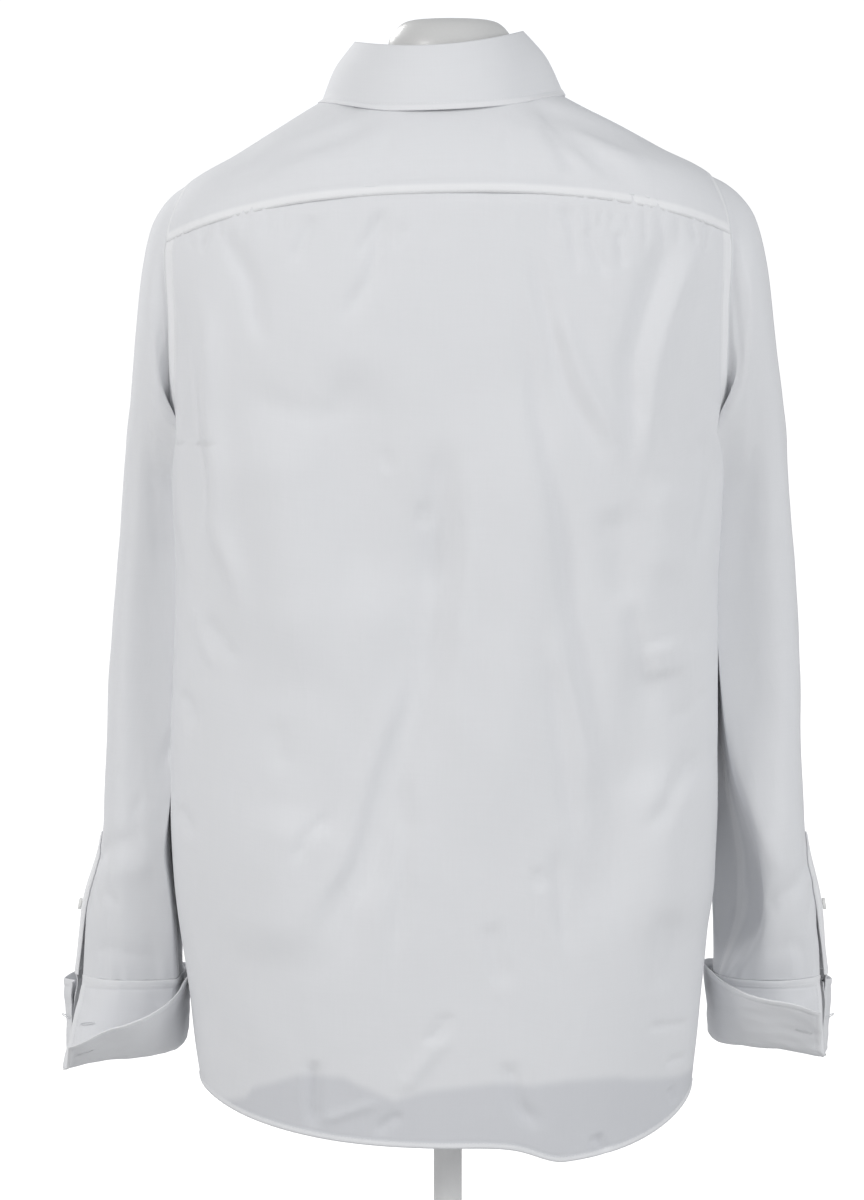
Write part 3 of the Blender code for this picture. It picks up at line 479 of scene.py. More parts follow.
# Folds as (height, left width, right width, then x and height down their path), in millimetres
backFolds = [
    (3.8, 8, 10, 190, 695, 179, 651, 179, 586, 173, 543, 172, 502, 161, 468, 156, 435, 147, 415),
    (-2.4, 8, 7, 202, 691, 194, 608, 186, 542, 189, 499, 193, 465),
    (1.4, 5, 5, 207, 636, 201, 607, 202, 541, 200, 496, 193, 450),
    (1.2, 5, 5, 194, 448, 187, 418, 172, 393), (-1.2, 5, 5, 185, 438, 169, 418, 157, 400),
    (-2, 6, 9, 165, 736, 162, 715, 148, 689, 141, 655, 127, 642),
    (-1.5, 5, 5, 99, 741, 109, 718, 117, 701), (-2, 6, 7, 44, 749, 52, 723, 58, 695, 75, 666, 74, 652),
    (-1.2, 4, 4, 48, 744, 65, 716, 72, 707), (-1, 4, 4, 33, 735, 41, 715),
    (-0.9, 11, 11, 159, 617, 138, 604, 118, 596, 91, 592, 75, 606, 60, 631, 54, 641),
    (-1.2, 6, 6, 17, 527, 21, 505), (-2, 15, 15, 3, 580, 4, 505, 17, 450), (-1, 5, 5, 48, 568, 45, 548),
    (-1.5, 4, 4, -87, 752, -91, 730, -97, 694), (-1.4, 4.5, 4.5, -100, 733, -111, 706, -122, 694),
    (-1.2, 4, 4, -125, 730, -130, 698),
    (-2.4, 7, 6, -58, 724, -68, 689, -77, 653, -87, 614, -104, 579, -118, 547),
    (2, 6, 7, -78, 677, -92, 642, -104, 611, -122, 578, -132, 549),
    (-3.2, 9, 14, -48, 687, -58, 647, -66, 610, -73, 567, -81, 537, -88, 494, -93, 455, -102, 413, -110,
     368, -116, 328, -121, 298),
    (1.8, 9, 8, -73, 435, -84, 398, -97, 363, -107, 328, -114, 296),
    (-3, 10, 9, -170, 735, -155, 695, -143, 656, -136, 625, -139, 589, -135, 556),
    (2.4, 8, 8, -191, 728, -167, 671, -153, 620, -146, 566, -134, 544),
    (-1.8, 6, 6, -197, 585, -195, 563, -200, 541, -192, 499, -185, 465),
    (-2, 14, 13, -122, 526, -130, 484, -135, 438), (1.6, 15, 15, -159, 543, -164, 496, -166, 458),
    (1.8, 12, 12, -8, 610, -12, 529, -11, 440, -9, 333, 1, 273), (-1.6, 9, 9, 8, 570, 8, 508, 9, 440),
    (-5.4, 34, 12, -4, 560, 8, 455, 16, 405, 27, 366, 38, 328, 45, 293, 58, 251, 72, 224, 78, 186, 88,
     150),
    (4.5, 34, 30, 128, 600, 124, 520, 118, 450, 112, 380),
    (-3.4, 26, 30, 72, 640, 66, 560, 60, 490, 58, 430),
    (3.8, 34, 30, -50, 620, -58, 520, -50, 430, -38, 330, -30, 250),
    (-4, 30, 24, -150, 430, -146, 360, -132, 290, -118, 230, -108, 180),
    (3.6, 28, 34, -160, 330, -166, 250, -170, 180), (3.4, 30, 36, 110, 300, 124, 230, 130, 170),
    (2.4, 11, 7, 33, 413, 40, 380, 61, 318, 76, 263, 97, 224, 112, 189),
    (-1.8, 7, 7, 27, 313, 31, 266, 37, 214, 42, 171), (-1.6, 5, 5, 87, 293, 104, 276, 116, 251),
    (-0.8, 8, 8, 130, 363, 123, 321), (-1.4, 5, 5, 206, 376, 197, 366, 194, 348),
    (-1.4, 5, 5, 209, 286, 199, 278, 197, 263),
    (-1.8, 8, 8, -61, 425, -78, 395, -88, 323, -98, 271, -103, 251),
    (-1.8, 8, 7, -133, 453, -143, 423, -151, 385, -162, 371), (2, 16, 16, -160, 420, -167, 390),
    (-0.8, 6, 6, -195, 430, -183, 408), (-0.8, 6, 6, -196, 381, -185, 366, -167, 361),
    (-2, 7, 8, -193, 333, -173, 311, -156, 283, -142, 276), (-1.6, 7, 7, -30, 214, -36, 184, -45, 156),
    (-1.2, 5, 5, -65, 251, -73, 234), (-1.4, 6, 6, -82, 271, -86, 211, -98, 181),
    (-1.6, 8, 8, -167, 216, -164, 174, -158, 144), (-2.4, 5, 5, 102, 105, 103, 76, 103, 46),
    (1, 4, 4, 99, 54, 73, 64, 49, 73), (1.3, 6, 6, 38, 76, 20, 102, 5, 119, -5, 126),
    (-1.4, 4, 4, 16, 116, 5, 131, -1, 144), (-1.3, 4, 4, 34, 64, 46, 56, 56, 46),
    (-2, 6, 6, -44, 107, -52, 73, -62, 59, -72, 49), (-1.5, 4, 4, -111, 44, -118, 33, -124, 29),
    (-1, 3.5, 3.5, -150, 124, -188, 119), (-1, 3.5, 3.5, -166, 93, -185, 93),
    (-1, 3.5, 3.5, -169, 73, -174, 56)
]
yokeFolds = [
    (-3, 6, 5, -50, 824, -78, 813, -118, 799, -157, 787, -201, 762),
    (-2.2, 5, 6, -62, 820, -92, 798, -122, 774, -150, 752), (-1.8, 5, 7, -64, 814, -84, 788, -98, 764),
    (1.4, 9, 9, -58, 812, -72, 786, -84, 760), (1.6, 6, 6, -58, 822, -88, 806, -126, 784, -160, 768),
    (1.4, 6, 6, -60, 818, -86, 790, -108, 766), (-1.6, 5, 6, 54, 822, 88, 812, 126, 796),
    (1.8, 5, 5, -56, 830, -81, 820, -121, 807, -156, 789, -195, 768),
    (-1.6, 5, 5, -75, 803, -103, 785, -132, 757), (-1.8, 6, 6, 45, 817, 75, 800, 128, 779, 168, 757),
    (1.6, 6, 6, 63, 816, 107, 799, 154, 784), (-1.2, 6, 6, 39, 803, 55, 773, 61, 754),
    (-1, 7, 7, -39, 809, -41, 785, -50, 764)
]
# The front isn't in the photograph: soft falls like the back's, each side its own
frontFolds = [
    (-2.8, 10, 12, 176, 690, 166, 620, 158, 540, 150, 450, 146, 400),
    (2.2, 11, 9, 158, 672, 150, 600, 140, 520, 132, 430),
    (-2.6, 10, 11, -178, 690, -160, 610, -140, 520, -116, 430),
    (2.2, 9, 12, -155, 660, -138, 580, -118, 500, -100, 440),
    (2.8, 16, 14, 120, 600, 108, 480, 100, 340, 96, 190, 92, 90),
    (2.8, 15, 17, -116, 590, -120, 450, -118, 300, -108, 160, -104, 80),
    (-2.6, 12, 13, 70, 520, 56, 400, 52, 260, 62, 110),
    (-2.4, 13, 11, -62, 540, -72, 410, -68, 260, -56, 100), (-1.6, 6, 6, 96, 300, 112, 255, 134, 220),
    (-1.5, 6, 6, -98, 360, -122, 318, -150, 296), (-1.4, 5, 5, 120, 690, 112, 655, 110, 622),
    (-1.3, 5, 5, -96, 700, -104, 668, -104, 640), (-1.3, 5, 5, 196, 360, 186, 340, 176, 332),
    (-1.4, 5, 5, -196, 290, -184, 272, -170, 266), (-1.8, 6, 6, 138, 150, 146, 110, 150, 80),
    (-1.7, 6, 6, -142, 170, -136, 120, -134, 80)
]


def seamPuckers(seed, spots, x, z):
    # short uneven creases that fall from a seam: spots are (x, height, length, strength) in millimetres
    rng = np.random.default_rng(seed)
    folds = []
    for spotX, spotZ, length, strength in spots:
        lean = rng.uniform(-0.35, 0.35)
        size = length * rng.uniform(0.6, 1.3)
        width = rng.uniform(1.8, 3.2)
        folds.append((-strength * rng.uniform(0.6, 1.2), width, width, spotX - size * lean * 0.5,
                      spotZ + size * 0.5, spotX + size * lean, spotZ - size))
    return foldRelief(folds, x, z)


def bodyRelief(points, folds, seed, strength=(1.0, 1.0)):
    # strength is that of the folds below the chest and over it
    x, z = points[..., 0], points[..., 2] - tail
    relief = foldRelief(folds, x, z) * mixed(strength[0], strength[1], smooth((z - 0.5) / 0.12))
    # slow swells of 0.7 mm over 16 cm, and small ones of 0.2 mm over 5 cm
    relief = relief + 0.0007 * ripples(x, z * 0.6, 0.16, seed)
    return relief + 0.00022 * ripples(x, z * 0.7, 0.05, seed + 1)


hemLook = {"width": 0.0042, "height": 0.0006, "stitchGap": 0.0004, "rope": 0.0001, "ropeStep": 0.0062,
           "ropeSlant": 700}


def hemBand(points):
    # rolled hem: two more layers along the lower edge, and the groove of its stitching above
    h, down = hemLook, arcs(points, 0)
    band = flatBand(down, h["width"])
    acrossHem = arcs(points, 1)[0][None, :]
    roping = np.sin(acrossHem * 2 * math.pi / h["ropeStep"] + down * h["ropeSlant"]) * band
    return h["height"] * band + groove(down - h["width"] - h["stitchGap"]) + h["rope"] * roping, band


def edgeBand(distance, width=0.0085, height=0.00045):
    # felled seam: a flat doubled band along a sewn edge, with its stitch groove
    band = flatBand(distance, width, 0.0009)
    return height * band + groove(distance - width), band


# Back; the front's hem shows through it as a line, and below that line, where the back lies single with
# nothing behind it, painted shade darkens the cloth
backSettings = {"columns": 189, "rows": 226, "underYoke": 0.16, "underFront": 0.0065 / 0.119,
                "flat": (0.58, 0.75), "seed": 21, "puckerSeed": 11, "puckers": 1.5,
                "seamHeight": 752, "seamFall": 0.12, "foldStrength": (1.6, 1.5), "paintedShadeBorder": 0.009}
# Puckers that fall from the yoke's seam, dense towards both shoulders: x, length and strength
yokePuckers = ((196, 18, 1), (186, 15, 0.8), (178, 22, 1), (170, 14, 0.7), (150, 14, 0.5), (134, 18, 0.6),
               (122, 14, 0.4), (86, 12, 0.4), (70, 16, 0.5), (12, 12, 0.3), (-20, 14, 0.3),
               (-46, 12, 0.4), (-74, 18, 0.6), (-84, 15, 0.8), (-94, 22, 0.9), (-104, 14, 0.9),
               (-113, 18, 0.9), (-122, 20, 0.8), (-133, 15, 0.7), (-146, 20, 0.8), (-158, 16, 0.7),
               (-171, 22, 0.9), (-182, 16, 0.8), (-194, 20, 0.9))
frontHem = {"x": [-0.2, -0.177, -0.139, -0.128, -0.089, -0.063, -0.035, -0.009, 0.016, 0.041, 0.066, 0.08,
                  0.113, 0.149, 0.155, 0.179, 0.2],
            "z": [0.079, 0.079, 0.084, 0.087, 0.087, 0.084, 0.087, 0.084, 0.081, 0.073, 0.084, 0.09, 0.09,
                  0.076, 0.067, 0.059, 0.059]}


def makeBack():
    s = backSettings
    level = np.linspace(0, 1, s["rows"]) * (bodyCut["yokeRow"] + s["underYoke"] + 1.0) - 1.0
    u, level = np.meshgrid(np.linspace(0, 1, s["columns"]), level)
    edge = armholeAngle(np.clip(level, 0, None), bodyCut["armholeBack"])
    edge = edge - s["underFront"] ** (2.35 / 2) * (1 - smooth((level - 4.3) / 0.5))
    theta = edge + u * (math.pi - 2 * edge)
    row = fromHem(theta, level)
    bare = bodyPoint(theta, row)
    x, z = bare[..., 0], bare[..., 2] - tail
    spots = [(spot, s["seamHeight"] - abs(spot) * s["seamFall"], length, strength)
             for spot, length, strength in yokePuckers]
    relief = bodyRelief(bare, backFolds, s["seed"], s["foldStrength"])
    relief = relief + s["puckers"] * seamPuckers(s["puckerSeed"], spots, x, z)
    # the armhole and the side hold the cloth down, and the seams lie under yoke and front
    toYoke = (bodyCut["yokeRow"] - row) / 0.1
    relief = relief * smooth(toYoke / 1.5 + 0.25)
    fromSide = np.minimum(theta - edge, math.pi - edge - theta)
    relief = relief * smooth(fromSide / 0.1 + 0.15)
    felled, felledBand = edgeBand(np.where(row > bodyCut["underarmRow"], fromSide * 0.115, 1.0))
    sink = bodyCut["layer"] * 0.85 * smooth(1.1 - toYoke * 0.8)
    sink = sink + bodyCut["layer"] * smooth(1.0 - fromSide / 0.09) * (row < bodyCut["underarmRow"])
    band, hem = hemBand(bare)
    points = placeOnBody(theta, row, relief + band + felled - sink)
    # painted shade below the front's hem line, and painted light on the doubled hem and felled bands
    line = np.interp(x, frontHem["x"], frontHem["z"])
    piece = clothSheet("backPanel", points, bodyCut["wall"],
                       thin=smooth((line - z) / s["paintedShadeBorder"] + 0.5) * (1 - hem),
                       doubledLight=np.maximum(hem * 0.3, felledBand * 0.8))
    finishCloth(piece, "back")


# Fronts
frontSettings = {"columns": 112, "rows": 170, "overlap": 0.018, "underlapDrop": 0.002,
                 "flat": (0.31, 0.87), "standColumns": 20, "standHeight": 0.00035,
                 "standStitch": 0.005, "shoulderRow": 6.8, "seed": {1: 31, -1: 35}}


def makeFront(node, side):
    s = frontSettings
    standShare = s["standColumns"] / (s["columns"] - 1)
    neck, shoulder = bodyCut["neckRow"], s["shoulderRow"]
    # even steps up the panel: from the hem to the low rows, then body and shoulder
    level = np.interp(np.linspace(0, 1, s["rows"]), [0, 0.12, 0.76, 0.86, 1.0],
                      [-1.0, bodyCut["lowRows"], shoulder, 8.2, neck])
    u, level = np.meshgrid(np.linspace(0, 1, s["columns"]), level)
    reach = armholeAngle(np.clip(level, 0, None), bodyCut["armholeFront"])
    reach = np.where(level > armholeMid, np.maximum(reach, bodyCut["yokeFront"]), reach)
    reach = reach - 0.012 * smooth((level - 7.55) / 0.3)
    halfWidth = along(bodyShape["halfWidth"], np.where(level > 0, level, 0.5))
    stand = s["overlap"] / halfWidth
    forward = np.where(u < standShare, mixed(-stand, stand, u / standShare),
                       mixed(stand, quarter - reach, (u - standShare) / (1 - standShare)))
    theta = -quarter + side * forward
    row = fromHem(theta, level)
    onShoulder = mixed(shoulder, neck - bodyCut["neckIn"], (level - shoulder) / (neck - shoulder))
    row = np.where(level > shoulder, onShoulder, row)
    bare = bodyPoint(theta, row)
    relief = bodyRelief(bare, frontFolds, s["seed"][side])
    relief = relief * smooth((forward - stand) / 0.12 + 0.05) * smooth((10.6 - row) / 2.2)
    fromEdge = (quarter - reach) - forward
    relief = relief * smooth(fromEdge / 0.1 + 0.15)
    band, hem = hemBand(bare)
    # the button stand is folded double, with a stitched line at each of its edges
    standArc = np.abs(forward) * halfWidth
    standBand = smooth((s["overlap"] - 0.0012 - standArc) / 0.0009 + 0.5)
    relief = relief + band + s["standHeight"] * standBand
    relief = relief + groove(standArc - s["overlap"] + s["standStitch"], 0.00025, 0.0007)
    felled, felledBand = edgeBand(np.where(row < 7.6, fromEdge * 0.112, 1.0))
    relief = relief + felled
    if side < 0:
        relief = relief - s["underlapDrop"] * (1 - smooth((u - 0.2) / 0.16))
    underYoke = smooth((row - 7.75) / 0.25) * smooth(1 - fromEdge / 0.05)
    points = placeOnBody(theta, row, relief - bodyCut["layer"] * underYoke)
    # painted light on the doubled hem, button stand and felled band
    piece = clothSheet("frontPanel" + sideTitle[side], points, bodyCut["wall"], turned=side < 0,
                       doubledLight=np.maximum.reduce([hem * 0.3, standBand, felledBand * 0.8]))
    finishCloth(piece, node)


# Yoke
yokeSettings = {"columns": 200, "rows": 60, "flat": (0.71, 0.2), "band": 0.0075,
                "bandHeight": 0.0003, "stitchGap": 0.0006, "deepest": 0.0024, "seed": 43,
                "puckerSeed": 5, "halfSeam": 0.235, "pucker": 0.0013}


def bandPuckers(acrossSeam, up):
    # the band over the seam allowance puckers, most towards both shoulders
    rng = np.random.default_rng(yokeSettings["puckerSeed"])
    pucker = np.zeros_like(acrossSeam * up)
    place = -yokeSettings["halfSeam"]
    while place < yokeSettings["halfSeam"]:
        gap = rng.uniform(0.006, 0.011)
        busy = 1.0 if abs(place) > 0.105 else 0.6 if place > 0.03 else 0.35
        size, reach = rng.uniform(0.0016, 0.0028), rng.uniform(0.006, 0.014)
        slant = rng.uniform(-0.35, 0.35)
        pucker = pucker - busy * rng.uniform(0.35, 1.0) * (
            bell((acrossSeam - place - slant * up) / size) * bell(up / reach))
        place += gap
    return pucker


def makeYoke():
    s = yokeSettings
    front = bodyCut["yokeFront"]
    theta, v = np.meshgrid(mixed(-front, math.pi + front, np.linspace(0, 1, s["columns"])),
                           np.linspace(0, 1, s["rows"]) ** 1.05)
    low = armholeRow(np.where(theta < quarter, theta, math.pi - theta))
    row = mixed(low, bodyCut["neckRow"] - bodyCut["neckIn"], v)
    bare = bodyPoint(theta, row)
    x, z = bare[..., 0], bare[..., 2] - tail
    behind = smooth(bare[..., 1] / 0.03)
    relief = foldRelief(yokeFolds, x, z) * behind
    relief = relief + 0.0004 * ripples(x, z + bare[..., 1], 0.09, s["seed"])
    # a trough goes no deeper than the form that the yoke rests on
    relief = np.where(relief < 0, s["deepest"] * np.tanh(relief / s["deepest"]), relief)
    up = arcs(bare, 0)
    band = flatBand(up, s["band"])
    acrossSeam = arcs(bare, 1)[0][None, :]
    acrossSeam = acrossSeam - acrossSeam[:, s["columns"] // 2][:, None]
    relief = relief + s["pucker"] * bandPuckers(acrossSeam, up) + s["bandHeight"] * band * behind
    relief = relief + groove(up - s["band"] - s["stitchGap"], 0.0003, 0.0009) + groove(up, 0.0004, 0.0012)
    points = placeOnBody(theta, row, relief)
    # painted light on the doubled band over the seam
    piece = clothSheet("yokePanel", points, bodyCut["wall"], doubledLight=band)
    finishCloth(piece, "yoke")


makeBack()
makeFront("front_left", 1)
makeFront("front_right", -1)
makeYoke()


# Sleeves: sections from armhole to cuff seam, for the wearer's left one; the right one hangs out more
sleeveShape = {
    "outerX": [0.2125, 0.224, 0.232, 0.2355, 0.2398, 0.2441, 0.2486, 0.2524, 0.2564, 0.262, 0.2646, 0.268,
               0.2835, 0.2905],
    "outerZ": [0.754, 0.746, 0.728, 0.696, 0.645, 0.597, 0.552, 0.5, 0.45, 0.38, 0.31, 0.25, 0.2, 0.142],
    "innerX": [0.214, 0.2165, 0.219, 0.219, 0.2165, 0.2138, 0.211, 0.208, 0.2074, 0.2094, 0.2098, 0.209,
               0.208, 0.208],
    "innerZ": [0.569, 0.572, 0.57, 0.564, 0.556, 0.544, 0.526, 0.486, 0.444, 0.378, 0.31, 0.25, 0.2,
               0.142],
    "backY": [0.053, 0.056, 0.056, 0.051, 0.041, 0.03, 0.02, 0.014, 0.012, 0.012, 0.015, 0.02, 0.014,
              0.002],
    "frontY": [-0.053, -0.056, -0.063, -0.075, -0.09, -0.104, -0.116, -0.124, -0.128, -0.125, -0.116,
               -0.106, -0.094, -0.082],
    "turn": [0, 0, 0, 0, 0, 0, 1, 2, 2, 3, 5, 8, 4, 0],
    "rightShift": [0, 0.005, 0.009, 0.01, 0.011, 0.013, 0.013, 0.013, 0.012, 0.011, 0.01, 0.01, 0.007,
                   0.006],
    "rightInner": [0, 0, 0, 0, 0, 0, 0, -0.001, -0.0022, -0.0045, -0.0055, -0.003, 0, 0],
    "squareness": [2, 2, 2.1, 2.3, 2.6, 3, 3.2, 3.2, 3.2, 3, 2.5, 2, 2, 2],
    "armholeShare": [1, 0.6, 0.26, 0.07, 0, 0, 0, 0, 0, 0, 0, 0, 0, 0],
    "corner": [0, 0.1, 0.6, 0.92, 0.95, 0.95, 0.95, 0.95, 0.95, 0.95, 0.95, 0.92, 0.85, 0.6],
    "rightCorner": [0, 0, 0, 0, 0, 0, 0, 0, 0, 0, -0.15, -0.55, -0.8, -0.5],
}
sleeveCut = {"slitAngle": math.radians(20.0), "slitTop": 0.866, "slitSpread": math.radians(10.0),
             "shrink": 0.985, "under": 1.035, "columns": 150, "rows": 190, "headRows": 5,
             "flat": (0.53, 0.662), "length": 0.61, "seamAngle": math.radians(152.0), "seamRadius": 0.05,
             "clear": 0.0004, "heldFrom": 0.24, "heldSpan": 0.06, "headEnd": 0.31, "seeds": (51, 55),
             # windows are the start and span of a rise, then of a fall, in degrees or shares down
             "drawnAngle": (106, 29, 185, 40), "drawnDown": {1: (0.1, 0.08, 0.76, 0.1),
                                                             -1: (0.1, 0.08, 0.62, 0.1)},
             "overlap": 0.0014, "wedgeDown": (0.68, 0.22, 0.93, 0.07), "wedgeOut": (0.021, 138, 24),
             "wedgeForward": (0.024, 156, 22)}
# Sleeve folds as (height, left width, right width, then angle and share down their path), in
# millimetres, degrees and thousandths; the angle is 0 at the outer side and 90 behind
sleeveFolds = {
    1: [(-1.8, 9, 9, 120, 40, 124, 120, 128, 230, 132, 330),
        (-1.2, 3.5, 3.5, 142, 170, 130, 196, 126, 226), (-1.1, 3.5, 3.5, 146, 250, 134, 268),
        (-1.2, 3, 3, 148, 300, 136, 330), (-0.9, 3.5, 3.5, 110, 60, 104, 100, 106, 150),
        (1.4, 12, 12, 95, 300, 88, 450, 92, 620), (-1.3, 14, 14, 125, 400, 128, 600),
        (-1.6, 5, 6, 136, 735, 124, 752, 118, 772), (-1, 5, 5, 104, 790, 92, 815),
        (-2.8, 6, 8, 28, 872, 46, 852, 74, 840, 112, 838), (1.8, 9, 9, 52, 884, 82, 872, 118, 868),
        (-1.3, 4, 4, 34, 884, 44, 905, 60, 926), (-1.2, 4, 4, 30, 905, 36, 930),
        (-1.4, 4, 4, 44, 968, 70, 960, 100, 966, 128, 972), (-1.1, 4.5, 4.5, 58, 900, 72, 908, 86, 922),
        (-2.4, 9, 9, 300, 520, 320, 560, 345, 590), (-2, 8, 8, 250, 300, 272, 330, 296, 350),
        (-1.8, 8, 8, 235, 440, 262, 455, 285, 490), (-2, 8, 8, 290, 760, 318, 792),
        (-1.4, 6, 6, 240, 640, 262, 660, 280, 664), (-1.3, 6, 6, 262, 900, 300, 896),
        (1.6, 14, 14, 270, 200, 268, 420, 276, 640)],
    -1: [(-2.4, 8, 9, 84, 20, 100, 90, 118, 170, 130, 240), (1.6, 9, 9, 64, 60, 78, 150, 96, 250),
         (-1.2, 3.5, 3.5, 140, 120, 128, 150, 126, 180), (-1.2, 3, 3, 146, 220, 134, 236),
         (-1.1, 3, 3, 130, 60, 122, 84), (-1.9, 14, 14, 138, 300, 140, 500, 136, 740),
         (1.2, 13, 13, 92, 320, 88, 500, 94, 700), (-0.7, 3, 3, 96, 402, 100, 418),
         (-2.8, 7, 8, 24, 866, 52, 884, 88, 908, 118, 930), (2, 10, 10, 104, 822, 90, 858, 84, 880),
         (-1.5, 4, 4, 30, 890, 28, 925, 24, 968), (-1.3, 4, 4, 36, 896, 44, 925, 52, 946),
         (-1.3, 4, 4, 50, 968, 74, 956, 104, 972), (-1.1, 4, 4, 120, 930, 96, 918, 84, 926),
         (-2.4, 9, 9, 310, 500, 326, 540, 348, 574), (-1.9, 8, 8, 252, 330, 274, 352, 300, 362),
         (-1.7, 8, 8, 232, 500, 258, 520, 282, 522), (-2, 8, 8, 288, 720, 316, 760),
         (-1.4, 6, 6, 244, 680, 268, 700, 286, 698), (-1.4, 6, 6, 258, 905, 300, 898),
         (1.5, 14, 14, 266, 220, 270, 440, 272, 660)],
}


def window(value, start, rise, end, fall):
    return smooth((value - start) / rise) * (1 - smooth((value - end) / fall))


def sleeveRow(down, side):
    row = {title: along(column, down * 13.0) for title, column in sleeveShape.items()}
    if side < 0:
        row["outerX"] = row["outerX"] + row["rightShift"]
        row["innerX"] = row["innerX"] + row["rightInner"]
        row["corner"] = row["corner"] + row["rightCorner"]
    lift = bodyCut["tilt"] * row["outerX"] * (1 - smooth((down - 0.1) / 0.35)) * -side
    row["outerZ"], row["innerZ"] = row["outerZ"] + lift, row["innerZ"] + lift
    return row


def sleeveRelief(phi, down, side):
    # on the sleeve laid flat: 0.9 mm of width a degree, and its length in metres
    length = sleeveCut["length"]
    laid = [(*fold[:3], *(np.reshape(fold[3:], (-1, 2)) * (0.9, -length)).ravel())
            for fold in sleeveFolds[side]]
    total = foldRelief(laid, np.degrees(phi) % 360 * 0.0009, -down * length)
    ringX, ringY = np.cos(phi) * 0.05, np.sin(phi) * 0.05
    seed, smallSeed = sleeveCut["seeds"]
    swell = 0.0006 * ripples(ringX, ringY + down * 0.45, 0.09, seed + side)
    swell = swell + 0.00022 * ripples(ringX, ringY + down * 0.5, 0.035, smallSeed)
    # gathers of the cuff seam and of the sleeve head
    gathers = np.sin(phi * 17 + 2.6 * np.sin(phi * 3 + side) + side) * (0.6 + 0.5 * np.sin(phi * 5 + 1.7))
    low = bell((1 - down) / mixed(0.022, 0.055, 0.5 + 0.5 * np.sin(phi * 7 + side))) * 0.0007 * gathers
    return (total + swell) * smooth((1 - down) / 0.04) + low * smooth((1 - down) / 0.004)


def bodyEdge(y, z, side):
    # how far out the shirt's body reaches at a depth and height
    ring = bodyRing(np.interp(z - tail, bodyShape["sideZ"], np.arange(len(bodyShape["sideZ"]))))
    depth = np.where(y > 0, ring["backDepth"], ring["frontDepth"])
    share = np.clip(np.abs(y - ring["centreY"]) / depth, 0, 1) ** ring["squareness"]
    return ring["halfWidth"] * (1 - share) ** (1 / ring["squareness"]) + side * ring["lean"]


def sleevePoint(phi, down, side, outward=0.0, shrink=sleeveCut["shrink"], sink=0.0):
    s, row = sleeveCut, sleeveRow(down, side)
    centre = stacked((row["outerX"] + row["innerX"]) / 2, (row["backY"] + row["frontY"]) / 2,
                     tail + (row["outerZ"] + row["innerZ"]) / 2)
    zero = np.zeros_like(row["outerX"])
    out = stacked((row["outerX"] - row["innerX"]) / 2, zero, (row["outerZ"] - row["innerZ"]) / 2)
    back = (row["backY"] - row["frontY"]) / 2
    longWay = stacked(np.abs(back) * np.sin(np.radians(row["turn"])), back, zero)
    cosine, sine = np.cos(phi)[..., None], np.sin(phi)[..., None]
    push = (sleeveRelief(phi, down, side) + outward)[..., None]
    roundWay = unit(out) * cosine + np.array([0.0, 1.0, 0.0]) * sine
    power = (2 / row["squareness"])[..., None]
    # behind, the inner edge is pressed flat beside the body, almost to a corner
    turnShare = (np.mod(phi, 2 * math.pi) - quarter)[..., None] / quarter
    corner = row["corner"][..., None] * ((turnShare > 0) & (turnShare < 1))
    turnShare = np.clip(turnShare, 0, 1)
    outShare = mixed(powered(cosine, power), np.clip(1 - 2 * turnShare, 0, 1) ** 1.3 - 1, corner)
    backShare = mixed(powered(sine, power), 1 - np.clip(2 * turnShare - 1, 0, 1) ** 1.3, corner)
    point = centre + out * outShare + longWay * backShare + roundWay * push
    # from the underarm down the sleeve stays outside the body
    x = point[..., 0]
    edge = bodyEdge(point[..., 1], point[..., 2], side) + s["clear"]
    x = np.where(x < edge, mixed(x, edge, smooth((down - s["heldFrom"]) / s["heldSpan"])), x)
    angle = np.degrees(np.mod(phi, 2 * math.pi))
    # down to the forearm the inner edge behind is drawn in until it lies on the body
    drawn = window(angle, *s["drawnAngle"]) * window(down, *s["drawnDown"][side])
    x = mixed(x, np.minimum(x, edge - s["overlap"]), drawn)
    # above the right cuff the sleeve turns away from the body and leaves a wedge
    if side < 0:
        away = window(down, *s["wedgeDown"])
        (depth, middle, span), (forward, behind, width) = s["wedgeOut"], s["wedgeForward"]
        x = x + depth * away * bell((angle - middle) / span)
        point[..., 1] -= forward * away * bell((angle - behind) / width)
    point[..., 0] = side * x
    # the sleeve's head lies in the armhole
    share = np.clip(row["armholeShare"], 0, 1) * (down < s["headEnd"])
    reach = np.where(np.sin(phi) > 0, bodyCut["armholeBack"], bodyCut["armholeFront"])
    theta = reach * np.sin(phi) * shrink
    theta = theta if side > 0 else math.pi - theta
    level = armholeMid + armholeHalf * np.cos(phi) * shrink
    onBody = bodyPoint(theta, level) - bodyNormal(theta, level) * np.asarray(sink)[..., None]
    return mixed(point, onBody, share[..., None])


def slitHalf(down):
    return sleeveCut["slitSpread"] * smooth((down - sleeveCut["slitTop"]) / (1 - sleeveCut["slitTop"]))


def sleevePhi(share, down):
    spread = slitHalf(down)
    return sleeveCut["slitAngle"] + spread + share * (2 * math.pi - 2 * spread)


def makeSleeve(title, side):
    s = sleeveCut
    head, rest = s["headRows"], s["rows"] - s["headRows"]
    down = np.concatenate([np.zeros(head), np.linspace(0.006, 0.9994, rest)])
    under = np.concatenate([np.linspace(s["under"], 0.992, head), np.full(rest, s["shrink"])])
    sink = np.concatenate([np.full(head, bodyCut["layer"] + 0.0003), np.zeros(rest)])
    sink[head - 1] = bodyCut["layer"] * 0.7
    u, down = np.meshgrid(np.linspace(0, 1, s["columns"]), down)
    under, sink = (np.broadcast_to(column[:, None], down.shape) for column in (under, sink))
    phi = sleevePhi(u, down)
    # the felled seam runs down the inner side, as a doubled band
    felled, felledBand = edgeBand(np.abs(phi - s["seamAngle"]) * s["seamRadius"], 0.0032, 0.0005)
    points = sleevePoint(phi, down, side, felled * smooth(down / 0.06), under, sink)
    points = points[::-1]                          # rows climb, as they do on the body
    # painted light on the doubled felled seam
    piece = clothSheet("sleeve" + sideTitle[side], points, bodyCut["wall"], turned=side < 0,
                       welded=True, doubledLight=felledBand[::-1])
    finishCloth(piece, f"sleeve_{title}")


